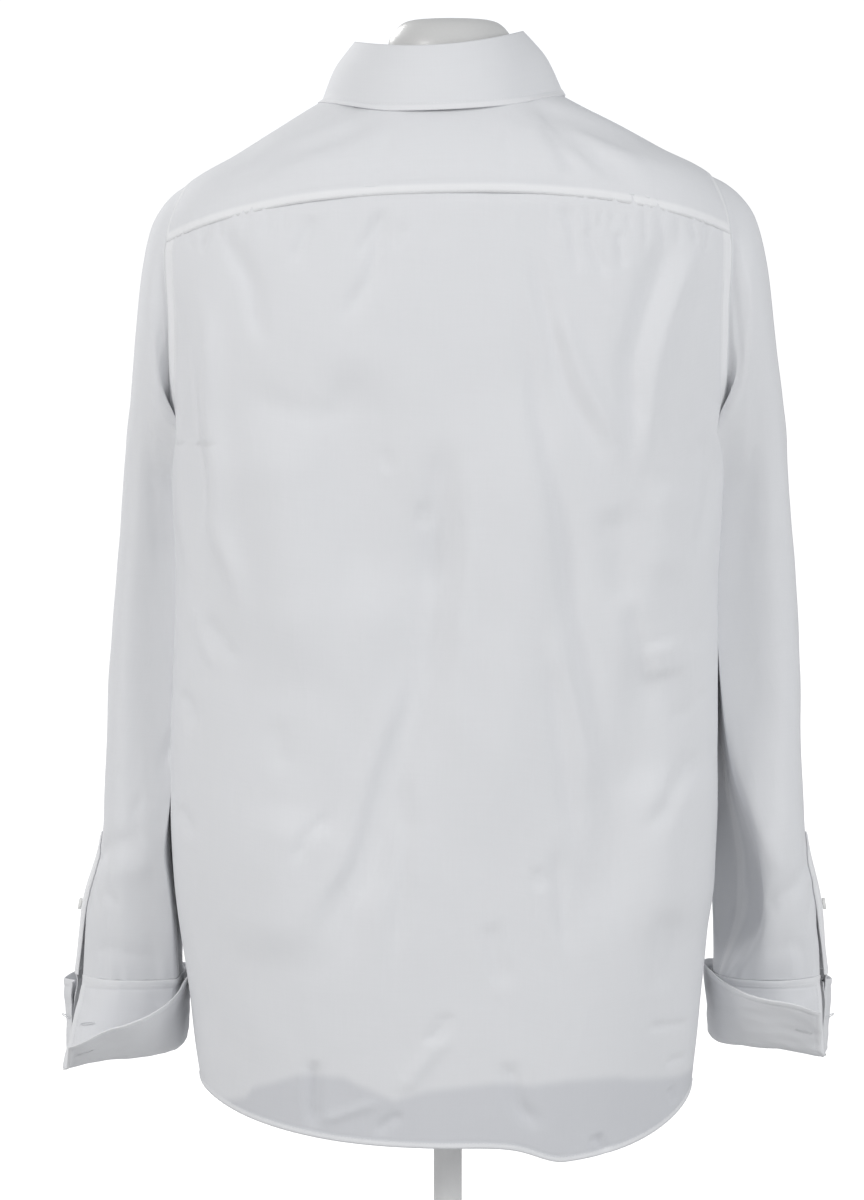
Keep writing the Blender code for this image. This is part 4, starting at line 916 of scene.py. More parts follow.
# Gauntlets of the slits
placketSettings = {"from": 0.935, "to": 1.03, "top": 0.838, "end": 0.999, "lift": 0.0022,
                   "columns": 26, "rows": 96, "flat": (0.04, 0.13), "point": 0.012, "wall": 0.0009,
                   "width": 0.021, "stitchIn": 0.0016}


def makePlacket(title, side):
    s = placketSettings
    u, down = np.meshgrid(np.linspace(0, 1, s["columns"]), np.linspace(s["top"], s["end"], s["rows"]))
    # pointed top: the strip narrows to its middle over the first millimetres
    narrow = np.clip((down - s["top"]) * 0.62 / s["point"], 0.04, 1.0)
    share = mixed((s["from"] + s["to"]) / 2, mixed(s["from"], s["to"], u), narrow)
    edgeArc = np.minimum(u, 1 - u) * s["width"] * narrow
    lift = s["lift"] * (0.55 + 0.45 * smooth(edgeArc / 0.002))
    lift = lift + groove(edgeArc - s["stitchIn"], 0.0002, 0.0006)
    points = sleevePoint(sleevePhi(share, down), down, side, lift)[::-1]
    # painted light over the whole doubled gauntlet
    piece = clothSheet("gauntlet" + sideTitle[side], points, s["wall"], turned=side < 0, doubledLight=1.0)
    finishCloth(piece, f"placket_{title}")


# Double cuffs, turned back and left open: columns round the cuff, left one and right one
cuffShape = {
    "flare": {1: [60, 52, 36, 3, 3, 8, 4, 2], -1: [42, 38, 28, 3, 3, 8, 4, 2]},
    "drop": {1: [0.0065, -0.004, -0.008, -0.009, -0.004, 0, 0.001, 0.002],
             -1: [-0.003, -0.012, -0.015, -0.013, -0.006, 0, 0.001, 0.002]},
    "out": {1: [0.01, 0.002, 0, 0, 0, 0, 0, 0], -1: [0.004, 0.001, 0, 0, 0, 0, 0, 0]},
}
cuffCut = {"height": 0.064, "turnBack": 0.06, "outerX": 0.2965, "innerX": 0.208, "backY": 0.004,
           "frontY": -0.088, "squareness": 2.6, "endGap": math.radians(4.0),
           "endTuck": math.radians(9.0), "foldRound": 0.0024, "seamGap": 0.0005,
           "outerLean": -0.1, "innerLean": 0.12, "columns": 120, "rows": 104,
           "foldRows": 52, "tuckRows": 4, "tuck": -0.018, "rim": 0.0052, "rimHeight": 0.0005,
           "stitchIn": 0.0058, "round": 0.26, "flat": (0.36, 0.145), "seeds": (61, 63)}


def cuffPoint(u, v, side):
    c = cuffCut
    down = np.minimum(v / 0.5, 1.0)
    spread = sleeveCut["slitSpread"] + c["endGap"] * np.maximum(down, 0)
    tuck = c["endTuck"] * smooth((v - 0.5) / 0.1)
    phi = sleeveCut["slitAngle"] + spread + tuck + u * (2 * math.pi - 2 * spread - tuck)
    cosine, sine = np.cos(phi), np.sin(phi)
    seam = sleevePoint(phi, np.ones_like(phi), side)
    flare, drop, out = (along(cuffShape[key][side], u * 7) for key in ("flare", "drop", "out"))
    flare, power = np.radians(flare), 2 / c["squareness"]
    foldX = (c["outerX"] + c["innerX"]) / 2 + (c["outerX"] - c["innerX"]) / 2 * powered(cosine, power)
    foldY = (c["backY"] + c["frontY"]) / 2 + (c["backY"] - c["frontY"]) / 2 * powered(sine, power)
    fold = stacked(side * (foldX + out), foldY, seam[..., 2])
    point = mixed(seam, fold, np.maximum(down, 0)[..., None])
    point[..., 2] -= c["seamGap"] + down * (c["height"] + drop)
    lean = np.where((cosine > 0) & (sine > 0), c["outerLean"], c["innerLean"])
    away = unit(stacked(side * cosine * lean, sine, np.zeros_like(sine)))
    climb = np.maximum(v - 0.5, 0) / 0.5 * c["turnBack"]
    step = np.minimum(climb / 0.004, 1.0) * c["foldRound"]
    point = point + away * (step + climb * np.sin(flare))[..., None]
    point[..., 2] += climb * np.cos(flare)
    return point


def makeCuff(title, side):
    # rows run down from the seam to the fold at half way, and up again to the free edge
    c = cuffCut
    v = np.concatenate([np.linspace(c["tuck"], 0.0, c["tuckRows"]),
                        np.linspace(0.012, 0.488, c["rows"] - c["foldRows"] - c["tuckRows"]),
                        np.linspace(0.494, 1.0, c["foldRows"])])
    u, v = np.meshgrid(np.linspace(0, 1, c["columns"]), v)
    points = cuffPoint(u, v, side)
    swell, small = (ripples(u * c["round"], v * 0.12, size, seed + side)
                    for size, seed in zip((0.05, 0.018), c["seeds"]))
    swell = 0.0005 * swell + 0.00025 * small
    # stitched a few millimetres inside its edges, with a thick rim
    edge = np.minimum.reduce([np.minimum(u, 1 - u) * c["round"], (1 - v) * 0.124, np.abs(v) * 0.128])
    rim = flatBand(edge, c["rim"])
    relief = swell + groove(edge - c["stitchIn"], 0.0004) + c["rimHeight"] * rim
    relief = np.where(v > 0.5, -relief, relief + 0.0008 * smooth((0.03 - v) / 0.03))
    points = points - side * surfaceNormal(points) * relief[..., None]
    # painted light on the cuff's thick rim
    piece = clothSheet("cuff" + sideTitle[side], points, bodyCut["facedWall"], turned=side > 0,
                       doubledLight=rim * 0.5)
    finishCloth(piece, f"cuff_{title}", faced=True)


for sideWay, word in ((1, "left"), (-1, "right")):
    makeSleeve(word, sideWay)
    makePlacket(word, sideWay)
    makeCuff(word, sideWay)


# Collar: rings of stand top, leaf fold and leaf edge
ringParts = ("backZ", "sideZ", "frontZ", "halfWidth", "backY", "frontY", "tilt", "shift")
collarShape = {"standTop": (0.864, 0.87, 0.8, 0.0622, 0.061, -0.079, 0.064, 0.007),
               "leafFold": (0.8656, 0.8716, 0.8016, 0.064, 0.0628, -0.0808, 0.064, 0.007),
               "leafEdge": (0.8215, 0.8275, 0.733, 0.0965, 0.086, -0.123, 0.044, 0.0045)}
collarCut = {"lap": math.radians(8.0), "lapStep": 0.0042, "frontGap": math.radians(9.0),
             "pointTurn": math.radians(26.0), "bulge": 0.002, "neckGap": 0.001,
             "rest": 0.0002, "mostDown": 0.006, "foot": 0.08, "rim": 0.005,
             "standStitch": 0.0028, "leafStitch": 0.0055, "seed": 71,
             "leafColumns": 200, "leafRows": 44, "standColumns": 190, "standRows": 18,
             "leafFlat": (0.545, 0.077), "standFlat": (0.512, 0.045)}


def levelWay(theta):
    return stacked(np.cos(theta), np.sin(theta), np.zeros_like(theta))


def collarPoint(parts, theta, outward):
    ring = dict(zip(ringParts, parts))
    cosine, sine = np.cos(theta), np.sin(theta)
    middleY = (ring["backY"] + ring["frontY"]) / 2
    halfDepth = (ring["backY"] - ring["frontY"]) / 2
    middleZ = np.where(sine > 0, ring["backZ"], ring["frontZ"])
    rise = np.abs(sine) ** np.where(sine > 0, 2.0, 1.5)
    x = ring["halfWidth"] * cosine + ring["shift"]
    z = ring["sideZ"] + (middleZ - ring["sideZ"]) * rise - ring["tilt"] * x
    return stacked(x, middleY + halfDepth * sine, tail + z) + levelWay(theta) * outward[..., None]


def makeStand():
    c = collarCut
    u, v = np.meshgrid(np.linspace(0, 1, c["standColumns"]), np.linspace(-c["foot"], 1, c["standRows"]))
    theta = mixed(-quarter - c["lap"], 1.5 * math.pi + c["lap"], u)
    row = np.full_like(theta, bodyCut["neckRow"])
    neck = bodyPoint(theta, row)
    foot = neck + unit(neck - bodyPoint(theta, row - 0.1)) * c["neckGap"]
    points = mixed(foot, collarPoint(collarShape["standTop"], theta, np.zeros_like(theta)), v[..., None])
    inward = c["lapStep"] * smooth((u - 0.9) / 0.06)
    edge = np.minimum(np.minimum(u, 1 - u) * 0.46, (v + c["foot"]) * 0.034)
    outward = 0.001 * smooth((0.14 - v) / 0.12) + groove(edge - c["standStitch"], 0.0003, 0.0007)
    points = points + levelWay(theta) * (outward - inward)[..., None]
    piece = clothSheet("collarStand", points, bodyCut["facedWall"])
    finishCloth(piece, "collar_stand",
                faced=True)


def layDown(points, share):
    # brings the leaf's edge down until it lies on the yoke and the fronts under it
    theta, row = np.meshgrid(np.linspace(0, 2 * math.pi, 361), np.linspace(7.4, 11.0, 61))
    under, away = bodyPoint(theta, row).reshape(-1, 3), bodyNormal(theta, row).reshape(-1, 3)
    tree = KDTree(len(under))
    for index, place in enumerate(under):
        tree.insert(place, index)
    tree.balance()
    laid = points.copy()
    for place in np.ndindex(points.shape[:2]):
        if share[place] > 0:
            nearest = tree.find(points[place])[1]
            height = (points[place] - under[nearest]) @ away[nearest]
            spare = np.clip(height - bodyCut["facedWall"] - collarCut["rest"], 0, collarCut["mostDown"])
            laid[place] = points[place] - away[nearest] * spare * share[place]
    return laid


def makeLeaf():
    c = collarCut
    u, v = np.meshgrid(np.linspace(0, 1, c["leafColumns"]), np.linspace(0, 1, c["leafRows"]))
    gap = c["frontGap"] + c["pointTurn"] * smooth((v - 0.1) / 0.9)
    theta = mixed(-quarter + gap, 1.5 * math.pi - gap, u)
    parts = [mixed(fold, edge, v) for fold, edge in zip(collarShape["leafFold"], collarShape["leafEdge"])]
    edge = np.minimum(np.minimum(u, 1 - u) * 0.43, (1 - v) * 0.052)
    rim = flatBand(edge, c["rim"])
    stitched = groove(edge - c["leafStitch"], 0.0004) + 0.0004 * rim
    swell = 0.0006 * ripples(u * 0.43, v * 0.05, 0.07, c["seed"]) * v
    outward = c["bulge"] * np.sin(math.pi * v) + stitched + swell
    points = layDown(collarPoint(parts, theta, outward), smooth((v - 0.35) / 0.65))
    # painted light on the leaf's thick rim
    piece = clothSheet("collarLeaf", points, bodyCut["facedWall"], turned=True, doubledLight=rim * 0.4)
    finishCloth(piece, "collar_leaf",
                faced=True)


makeStand()
makeLeaf()
print("collar made")


# Sewing thread: one stitch is modelled and copied along every seam that shows
stitchLook = {"length": 0.0019, "gap": 0.0007, "radius": 0.0002, "lift": 0.00004, "step": 0.0006}


def modelStitch():
    deselectAll()
    bpy.ops.mesh.primitive_uv_sphere_add(segments=5, ring_count=3, radius=1.0)
    grain = bpy.context.object
    bpy.ops.object.mode_set(mode="EDIT")
    bpy.ops.mesh.select_all(action="SELECT")
    bpy.ops.transform.rotate(value=quarter, orient_axis="Y", center_override=(0, 0, 0))
    bpy.ops.transform.resize(value=(stitchLook["length"] / 2, stitchLook["radius"], stitchLook["radius"]),
                             center_override=(0, 0, 0))
    bpy.ops.object.mode_set(mode="OBJECT")
    corners = np.array([vertex.co[:] for vertex in grain.data.vertices])
    faces = [tuple(face.vertices) for face in grain.data.polygons]
    bpy.data.objects.remove(grain)
    return corners, faces


stitchCorners, stitchFaces = modelStitch()
sewn = {"corners": [], "faces": [], "count": 0}


def onLine(at, passed, values):
    return stacked(*(np.interp(at, passed, values[:, k]) for k in range(3)))


def sew(line, normals, crosswise=False, pitch=stitchLook["length"] + stitchLook["gap"], size=1.0):
    # stitches end to end on a line, or crosswise and close as round a buttonhole
    passed = arcs(line[:, None], 0)[:, 0]
    count = max(int(passed[-1] / pitch), 1)
    at, step = (np.arange(count) + 0.5) * pitch, stitchLook["step"]
    out = unit(onLine(at, passed, normals))
    run = unit(onLine(at + step, passed, line) - onLine(at - step, passed, line))
    side = unit(np.cross(out, run))
    if crosswise:
        run, side = side, run
    place = onLine(at, passed, line) + out * stitchLook["lift"]
    lengthways, sideways, upwards = (stitchCorners[None, :, k:k + 1] for k in range(3))
    corners = (place[:, None] + size * (lengthways * run[:, None] + sideways * side[:, None])
               + upwards * out[:, None])
    first = sewn["count"] * len(stitchCorners)
    for index in range(count):
        base = first + index * len(stitchCorners)
        sewn["faces"] += [tuple(base + corner for corner in face) for face in stitchFaces]
    sewn["corners"].append(corners.reshape(-1, 3))
    sewn["count"] += count


def sewSeam(name, edge, distance, low=0.0, high=1.0, through=0.0):
    # along a sheet at a distance from one of its edges; through is the wall, for its other side
    points, normals = grids[name]
    if edge in ("first", "last"):
        points, normals = points.swapaxes(0, 1), normals.swapaxes(0, 1)
    if edge in ("high", "last"):
        points, normals = points[::-1], normals[::-1]
    down = arcs(points, 0)
    take = np.arange(points.shape[1])
    index = np.clip((down < distance).sum(axis=0) - 1, 0, points.shape[0] - 2)
    share = (distance - down[index, take]) / np.maximum(down[index + 1, take] - down[index, take], 1e-9)
    share = np.clip(share, 0, 1)[:, None]
    line = mixed(points[index, take], points[index + 1, take], share)
    out = unit(mixed(normals[index, take], normals[index + 1, take], share))
    if through:
        line, out = line - out * through, -out
    part = slice(int(low * (len(line) - 1)), int(high * (len(line) - 1)) + 1)
    sew(line[part], out[part])


def buttonhole(name, row, column, alongRow, length, through=0.0):
    # worked slit: a narrow loop of close crosswise stitches on the sheet
    points, normals = grids[name]
    centre, out = points[row, column], normals[row, column]
    run = points[row, column + 1] - points[row, column - 1] if alongRow else (
        points[row + 1, column] - points[row - 1, column])
    run = unit(run - out * (run @ out))
    if through:
        centre, out = centre - out * through, -out
    turn = np.linspace(0, 2 * math.pi, 49)[:, None]
    loop = centre + (np.cos(turn) ** 3 * 0.3 + np.cos(turn) * 0.7) * run * length / 2
    loop = loop + np.sin(turn) * np.cross(out, run) * 0.0009 + out * 0.0001
    sew(loop, np.broadcast_to(out, loop.shape), crosswise=True, pitch=0.00046, size=0.62)


def nearestColumn(name, row, distance):
    # column of a sheet's row that lies a distance from its first edge
    return int(np.argmin(np.abs(arcs(grids[name][0], 1)[row] - distance)))


hemIn, fellIn, edgeIn, standIn = 0.004, 0.0084, 0.0016, 0.031
cuffIn, leafIn = cuffCut["stitchIn"], collarCut["leafStitch"]
fronts, ends, faced = ("frontPanelLeft", "frontPanelRight"), ("first", "last"), bodyCut["facedWall"]
for title in ("backPanel", *fronts):
    sewSeam(title, "low", hemIn)
for edge in ends:
    sewSeam("backPanel", edge, fellIn, 0.74, 0.97)
for title in fronts:
    sewSeam(title, "last", edgeIn, 0.0, 0.54)
    sewSeam(title, "last", fellIn - edgeIn, 0.0, 0.54)
    sewSeam(title, "last", fellIn, 0.57, 0.86)
sewSeam("frontPanelLeft", "first", 0.005, 0.01, 0.985)
for title in fronts:
    sewSeam(title, "first", standIn, 0.01, 0.985)
sewSeam("yokePanel", "low", edgeIn)
for low, high in ((0.0, 0.175), (0.825, 1.0)):
    sewSeam("yokePanel", "low", fellIn, low, high)
for edge in ends:
    sewSeam("yokePanel", edge, edgeIn)
for title in ("gauntletLeft", "gauntletRight"):
    for edge in ends:
        sewSeam(title, edge, edgeIn, 0.0, 0.93)
for title in ("sleeveLeft", "sleeveRight"):
    points, normals = grids[title]
    for offset in (-0.0022, 0.0022):
        angle = sleeveCut["seamAngle"] + offset / sleeveCut["seamRadius"]
        column = int(round((angle - sleeveCut["slitAngle"]) / (2 * math.pi) * (points.shape[1] - 1)))
        sew(points[:-8, column], normals[:-8, column])
for title in ("cuffLeft", "cuffRight"):
    sewSeam(title, "high", cuffIn, 0.02, 0.98, faced)
    sewSeam(title, "low", 0.0046, 0.01, 0.99)
    for edge in ends:
        sewSeam(title, edge, cuffIn, 0.06, 0.47)
        sewSeam(title, edge, cuffIn, 0.53, 0.95, faced)
sewSeam("collarLeaf", "high", leafIn, 0.01, 0.99)
for edge in ends:
    sewSeam("collarLeaf", edge, leafIn, 0.02, 0.92)
sewSeam("collarStand", "low", 0.005, 0.01, 0.99)
sewSeam("collarStand", "high", 0.003, 0.01, 0.99)
print("seams sewn:", sewn["count"], "stitches")


# Buttons: a dished disc with a rim and four holes, modelled once for each size
buttonLook = {"radius": 0.0056, "smallRadius": 0.0046, "height": 0.0024, "rim": 0.0012, "dish": 0.0007,
              "hole": 0.00062, "spread": 0.00125, "spacing": 0.09, "top": 0.7, "clear": 0.0005,
              "strand": 0.00028, "bar": 0.0003, "frontHole": 0.0165, "endHole": 0.015}
sleeveButton = {"down": 0.927, "share": 0.97, "step": 0.01, "lift": 0.0003}
cuffHoles = {"in": 0.017, "rows": ((28, 0.0), (78, faced))}


def modelButton(radius):
    b = buttonLook
    deselectAll()
    bpy.ops.mesh.primitive_cylinder_add(vertices=32, radius=radius, depth=b["height"], location=(0, 0, 0))
    disc = bpy.context.object
    for face in disc.data.polygons:
        face.select = face.normal.z > 0.9
    bpy.ops.object.mode_set(mode="EDIT")
    bpy.ops.mesh.select_mode(type="FACE")
    bpy.ops.mesh.inset(thickness=b["rim"], depth=0.0)
    bpy.ops.mesh.inset(thickness=0.0004, depth=-b["dish"])
    bpy.ops.object.mode_set(mode="OBJECT")
    rounded = disc.modifiers.new("round", "BEVEL")
    rounded.width, rounded.segments, rounded.limit_method = 0.00035, 2, "ANGLE"
    holes = []
    for x in (-b["spread"], b["spread"]):
        for y in (-b["spread"], b["spread"]):
            bpy.ops.mesh.primitive_cylinder_add(vertices=12, radius=b["hole"], depth=b["height"] * 2,
                                                location=(x, y, 0))
            holes.append(bpy.context.object)
    pick(*holes)
    bpy.ops.object.join()
    drill = bpy.context.object
    cut = disc.modifiers.new("holes", "BOOLEAN")
    cut.operation, cut.object, cut.solver = "DIFFERENCE", drill, "EXACT"
    applyAll(disc)
    bpy.data.objects.remove(drill)
    pick(disc)
    bpy.ops.object.shade_smooth_by_angle(angle=math.radians(35))
    return disc


def newPiece(name, mesh):
    piece = bpy.data.objects.new(name, mesh)
    scene.collection.objects.link(piece)
    return piece


def putButton(node, model, centre, outward):
    # each button is a copy with its own mesh, turned to the cloth and sewn with two bars of thread
    b = buttonLook
    turned = Vector(outward).to_track_quat("Z", "Y").to_matrix().to_4x4()
    turned.translation = Vector(centre)
    mesh = model.data.copy()
    mesh.transform(turned)
    first, *rest = node.split("_")
    finish(newPiece(first + "".join(map(str.capitalize, rest)), mesh), node, resin)
    axes = np.array(turned.to_3x3())
    dish = b["height"] / 2 - b["dish"] + 0.0001
    for across in (-b["spread"], b["spread"]):
        for strand in (-b["strand"], 0.0, b["strand"]):
            x = across + strand
            bar = np.array([[x, -b["spread"], dish], [x, 0.0, dish + b["bar"]], [x, b["spread"], dish]])
            sew(bar @ axes.T + np.array(centre), np.repeat(axes[None, :, 2], 3, axis=0), pitch=0.0026,
                size=1.45)


def tintedMaterial(name, values, dark, light, **grain):
    # two close tints in a soft pattern
    material, tree, shader, place = newMaterial(name, values)
    pattern = noise(tree, place, **grain).outputs[0]
    feed(tree, shader["Base Color"], mixColour(tree, dark, light, pattern))
    return material


resin = tintedMaterial("buttonResin", {"Roughness": 0.24, "Coat Weight": 0.35, "Coat Roughness": 0.12},
                       (0.8, 0.8, 0.78), (0.91, 0.91, 0.9), Scale=260.0, Detail=4.0, Distortion=1.6)
thread = tintedMaterial("sewingThread", {"Roughness": 0.55, "Sheen Weight": 0.15}, (0.74, 0.75, 0.77),
                        (0.88, 0.885, 0.9), Scale=2400.0, Detail=1.0)
buttonModel, smallButtonModel = modelButton(buttonLook["radius"]), modelButton(buttonLook["smallRadius"])
frontHeights = grids["frontPanelLeft"][0][:, frontSettings["standColumns"] // 2, 2]
levels = np.linspace(0, 8, 801)
middleHeights = bodyPoint(np.full_like(levels, -quarter), levels)[:, 2] - tail
for index in range(6):
    level = np.interp([buttonLook["top"] - index * buttonLook["spacing"]], middleHeights, levels)
    angle = np.array([-quarter])
    outward = bodyNormal(angle, level)[0]
    centre = bodyPoint(angle, level)[0] + outward * (buttonLook["clear"] + buttonLook["height"] / 2)
    putButton(f"button_front_{index + 1}", buttonModel, centre, outward)
    row = int(np.argmin(np.abs(frontHeights - centre[2])))
    column = nearestColumn("frontPanelLeft", row, frontSettings["overlap"])
    buttonhole("frontPanelLeft", row, column, False, buttonLook["frontHole"])
buttonhole("collarStand", 9, nearestColumn("collarStand", 9, 0.0095), True, buttonLook["endHole"])
low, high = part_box("button_collar")
putButton("button_collar", buttonModel, (Vector(low) + Vector(high)) / 2, (0, -1, 0))
for sideWay, word in ((1, "left"), (-1, "right")):
    step, around = sleeveButton["step"], []
    for moreShare, moreDown in ((0, 0), (step, 0), (-step, 0), (0, -step), (0, step)):
        level = np.array([sleeveButton["down"] + moreDown])
        angle = sleevePhi(sleeveButton["share"] + moreShare, level)
        around.append(sleevePoint(angle, level, sideWay, placketSettings["lift"])[0])
    place, ahead, behind, above, below = around
    outward = unit(np.cross(below - above, ahead - behind)) * sideWay
    centre = place + outward * (buttonLook["height"] / 2 + sleeveButton["lift"])
    putButton(f"button_placket_{word}", smallButtonModel, centre, outward)
for title in ("cuffLeft", "cuffRight"):
    for row, through in cuffHoles["rows"]:
        whole = arcs(grids[title][0], 1)[row, -1]
        for distance in (cuffHoles["in"], whole - cuffHoles["in"]):
            column = nearestColumn(title, row, distance)
            buttonhole(title, row, column, True, buttonLook["endHole"], through)
for model in (buttonModel, smallButtonModel):
    bpy.data.objects.remove(model)
sewing = bpy.data.meshes.new("sewing")
sewing.from_pydata(np.concatenate(sewn["corners"]).tolist(), [], sewn["faces"])
sewing.update()
stitches = newPiece("sewing", sewing)
pick(stitches)
bpy.ops.object.shade_smooth()
finish(stitches, None, thread)
print("buttons made, stitches in all:", sewn["count"])


# Dress form, its neck cap, pole and base
formSettings = {"rows": [1, 1.8, 3, 4, 4.8, 5.6, 6.3, 6.8, 7.2, 7.7, 8.3, 9, 9.8, 10.4, 10.7],
                "seat": 0.0025, "ease": 0.0145, "chestEase": 0.0062, "neckLevel": 0.853,
                "neckRings": ((-0.012, 0.05), (0.0, 0.046)), "neckPlace": (0.004, -0.008),
                "columns": 97, "rings": 85, "foot": ((0.055, 0.102), (0.022, 0.11), (0.004, 0.123)),
                "capRadius": 0.0482, "capShift": -0.002, "gap": 0.0003, "poleRadius": 0.011,
                "baseRadius": 0.155, "baseHeight": 0.014, "socketRadius": 0.019, "socketHeight": 0.022}


def plainMaterial(name, look):
    # knitted cover, lacquer and paint: a slow tint, a fine grain and its relief
    material, tree, shader, place = newMaterial(name, {"Coat Weight": look["coat"]})
    slow = noise(tree, place, Scale=14.0, Detail=3.0).outputs[0]
    stretched = stretch(tree, place, (1, 1, look["height"]))
    grain = noise(tree, stretched, Scale=look["grain"], Detail=2.0).outputs[0]
    share = maths(tree, "MULTIPLY_ADD", grain, 0.5, maths(tree, "MULTIPLY", slow, 0.5))
    feed(tree, shader["Base Color"], mixColour(tree, look["dark"], look["light"], share))
    feed(tree, shader["Roughness"], maths(tree, "MULTIPLY_ADD", grain, 0.16, look["roughness"] - 0.08))
    relief = addNode(tree, "ShaderNodeBump", {"Strength": look["bump"], "Distance": 0.0002,
                                              "Height": grain})
    feed(tree, shader["Normal"], relief.outputs[0])
    return material


jersey = plainMaterial("formJersey", {
    "dark": (0.56, 0.56, 0.56), "light": (0.7, 0.7, 0.7), "roughness": 0.85, "grain": 900.0,
    "height": 0.35, "bump": 0.5, "coat": 0.0})
lacquer = plainMaterial("capLacquer", {
    "dark": (0.61, 0.61, 0.605), "light": (0.67, 0.67, 0.665), "roughness": 0.42, "grain": 420.0,
    "height": 1, "bump": 0.08, "coat": 0.15})
paint = plainMaterial("painted", {
    "dark": (0.86, 0.86, 0.86), "light": (0.9, 0.9, 0.9), "roughness": 0.38, "grain": 700.0,
    "height": 1, "bump": 0.15, "coat": 0.1})


def formDepth(theta, row):
    # how deep the form lies under the shirt's outer side
    ease = mixed(formSettings["ease"], formSettings["chestEase"], smooth((row - 6.0) / 1.2))
    ease = mixed(ease, formSettings["seat"], smooth((row - 7.9) / 0.8))
    side = 1 - np.minimum(np.abs(np.sin(theta)) / 0.45, 1.0)
    armhole = smooth((row - 4.0) / 1.0) * smooth((8.1 - row) / 0.5)
    neck = smooth((row - 9.9) / 0.8)
    front = smooth(-np.sin(theta) * 2) * (0.003 + 0.006 * neck)
    return 0.0012 + ease + 0.012 * smooth(side) * armhole + 0.0045 * neck + front


def finishHard(piece, node, slot, material, sharp):
    # the piece comes in edit mode; edges sharper than an angle in degrees stay crisp
    bpy.ops.mesh.select_all(action="SELECT")
    bpy.ops.mesh.normals_make_consistent(inside=False)
    bpy.ops.object.mode_set(mode="OBJECT")
    bpy.ops.object.transform_apply(location=True, rotation=True, scale=True)
    bpy.ops.object.shade_smooth_by_angle(angle=math.radians(sharp))
    finish(piece, node, material)
    print(node + ":", len(piece.data.polygons), "faces")


def makeForm():
    s = formSettings
    theta = np.linspace(0, 2 * math.pi, s["columns"])
    rings = []
    low = np.full_like(theta, s["rows"][0])
    for inset, level in s["foot"]:
        ring = bodyPoint(theta, low) - bodyNormal(theta, low) * (formDepth(theta, low) + inset)[:, None]
        ring[:, 2] = tail + level
        rings.append(ring)
    last = len(s["rows"]) - 1
    for row in np.interp(np.linspace(0, last, s["rings"]), np.arange(last + 1), s["rows"]):
        level = np.full_like(theta, row)
        rings.append(placeOnBody(theta, level, -formDepth(theta, level)))
    x, y = s["neckPlace"]
    for rise, radius in s["neckRings"]:
        level = tail + (s["neckLevel"] + rise)
        rings.append(stacked(radius * np.cos(theta) + x, radius * np.sin(theta) + y,
                             np.full_like(theta, level)))
    torso = clothSheet("formBody", np.array(rings), 0.0, welded=True)
    pick(torso)
    bpy.ops.object.mode_set(mode="EDIT")
    bpy.ops.mesh.select_mode(type="VERT")
    bpy.ops.mesh.select_non_manifold()
    bpy.ops.mesh.fill_holes(sides=0)
    finishHard(torso, "form_torso", "form_jersey", jersey, 40)


def makeTurned(name, outline, centre, steps, *finishing):
    # a disc drawn up ring by ring along its outline of (radius, height), as on a lathe
    deselectAll()
    x, y, z = centre
    radius, height = outline[0]
    bpy.ops.mesh.primitive_circle_add(vertices=steps, radius=radius, fill_type="NGON",
                                      location=(x, y, z + height))
    piece = bpy.context.object
    piece.name = piece.data.name = name
    bpy.ops.object.mode_set(mode="EDIT")
    for (r0, z0), (r1, z1) in zip(outline, outline[1:]):
        bpy.ops.mesh.extrude_region_move(TRANSFORM_OT_translate={"value": (0, 0, z1 - z0)})
        bpy.ops.transform.resize(value=(r1 / r0, r1 / r0, 1), center_override=(x, y, z + z1))
    finishHard(piece, *finishing, 30)


def makeStandParts():
    s = formSettings
    bottom, rim = s["neckLevel"] + s["gap"], s["capRadius"]
    makeTurned("neckCap", [
        (rim - 0.0005, bottom), (rim, bottom + 0.0008), (rim, bottom + 0.002), (0.048, 0.86),
        (0.0477, 0.864), (0.0472, 0.867), (0.0462, 0.87), (0.045, 0.8722), (0.0437, 0.874),
        (0.0413, 0.877), (0.0385, 0.8795), (0.0357, 0.8813), (0.0325, 0.8825), (0.0275, 0.8836),
        (0.022, 0.8842), (0.012, 0.8848), (0.001, 0.885)],
        (s["capShift"], s["neckPlace"][1], tail), 96, "form_neck_cap", "cap_lacquer", lacquer)
    foot = s["baseHeight"] + s["socketHeight"] + s["gap"]
    top = tail + s["foot"][0][1] - s["gap"]
    r = s["poleRadius"]
    makeTurned("pole", [(r - 0.0004, foot), (r, foot + 0.0004), (r, top - 0.0004), (r - 0.0004, top)],
               (0, 0, 0), 48, "stand_pole", "painted_steel", paint)
    r, h, b = s["baseRadius"], s["baseHeight"], s["socketRadius"]
    boss = h + s["socketHeight"]
    makeTurned("base", [
        (r - 0.0006, 0.0), (r, 0.0006), (r, 0.004), (r - 0.0015, 0.0078), (r - 0.004, 0.0106),
        (r - 0.008, 0.0128), (r - 0.0125, h), (b + 0.01, h), (b + 0.005, h + 0.001),
        (b + 0.0016, h + 0.003), (b, h + 0.0065), (b, boss - 0.002), (b - 0.0006, boss - 0.0006),
        (b - 0.002, boss)], (0, 0, 0), 128, "stand_base", "painted_steel", paint)


makeForm()
makeStandParts()
print("form and stand made")


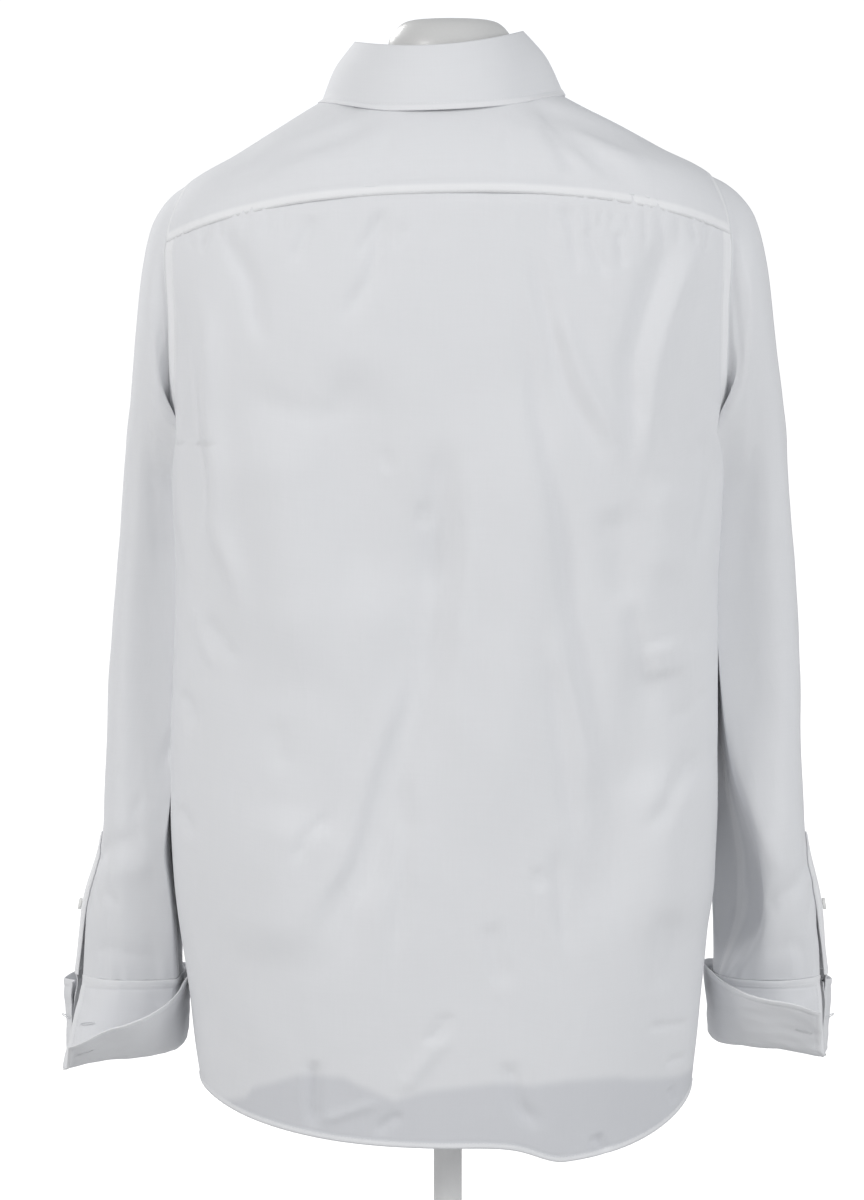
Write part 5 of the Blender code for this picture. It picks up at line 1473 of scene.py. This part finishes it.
# Floor, light and world
stageSettings = {"floorSize": 400.0, "floorGlow": 0.8, "world": 0.5, "worldSeen": 1.1,
                 "worldColour": (0.965, 0.982, 1.0), "aim": (0.0, 0.0, 0.7)}
lamps = {"key": {"power": 49.0, "place": (2.6, 2.1, 2.2), "size": 1.1, "colour": (1.0, 0.984, 0.966)},
         "fill": {"power": 44.0, "place": (-2.7, 2.2, 1.7), "size": 1.6, "colour": (1.0, 1.0, 1.0)},
         "front": {"power": 48.0, "place": (1.9, -3.3, 2.3), "size": 1.4, "colour": (1.0, 0.99, 0.98)}}

deselectAll()
bpy.ops.mesh.primitive_plane_add(size=stageSettings["floorSize"], location=(0, 0, 0))
floor = bpy.context.object
floor.name = "floor"
paper = tintedMaterial("palePaper", {"Roughness": 0.9, "Specular IOR Level": 0.1,
                                     "Emission Color": (1.0, 1.0, 1.0, 1.0)},
                       (0.58, 0.58, 0.58), (0.62, 0.62, 0.62), Scale=3.0, Detail=3.0)
seen = addNode(paper.node_tree, "ShaderNodeLightPath").outputs["Is Camera Ray"]
feed(paper.node_tree, paper.node_tree.nodes["Principled BSDF"].inputs["Emission Strength"],
     maths(paper.node_tree, "MULTIPLY", seen, stageSettings["floorGlow"]))
floor.data.materials.append(paper)

world = bpy.data.worlds.new("studio")
world.use_nodes = True
sky = world.node_tree.nodes["Background"].inputs
sky["Color"].default_value = (*stageSettings["worldColour"], 1.0)
seenSky = addNode(world.node_tree, "ShaderNodeLightPath").outputs["Is Camera Ray"]
feed(world.node_tree, sky["Strength"],
     maths(world.node_tree, "MULTIPLY_ADD", seenSky, stageSettings["worldSeen"] - stageSettings["world"],
           stageSettings["world"]))
scene.world = world

for name, look in lamps.items():
    bpy.ops.object.light_add(type="AREA", location=look["place"])
    lamp = bpy.context.object
    lamp.name = name + "Light"
    lamp.data.energy, lamp.data.size, lamp.data.color = look["power"], look["size"], look["colour"]
    lamp.rotation_euler = aimed(look["place"], stageSettings["aim"])
    lamp.visible_camera = False

scene.view_settings.view_transform = "Standard"
scene.view_settings.look = "None"
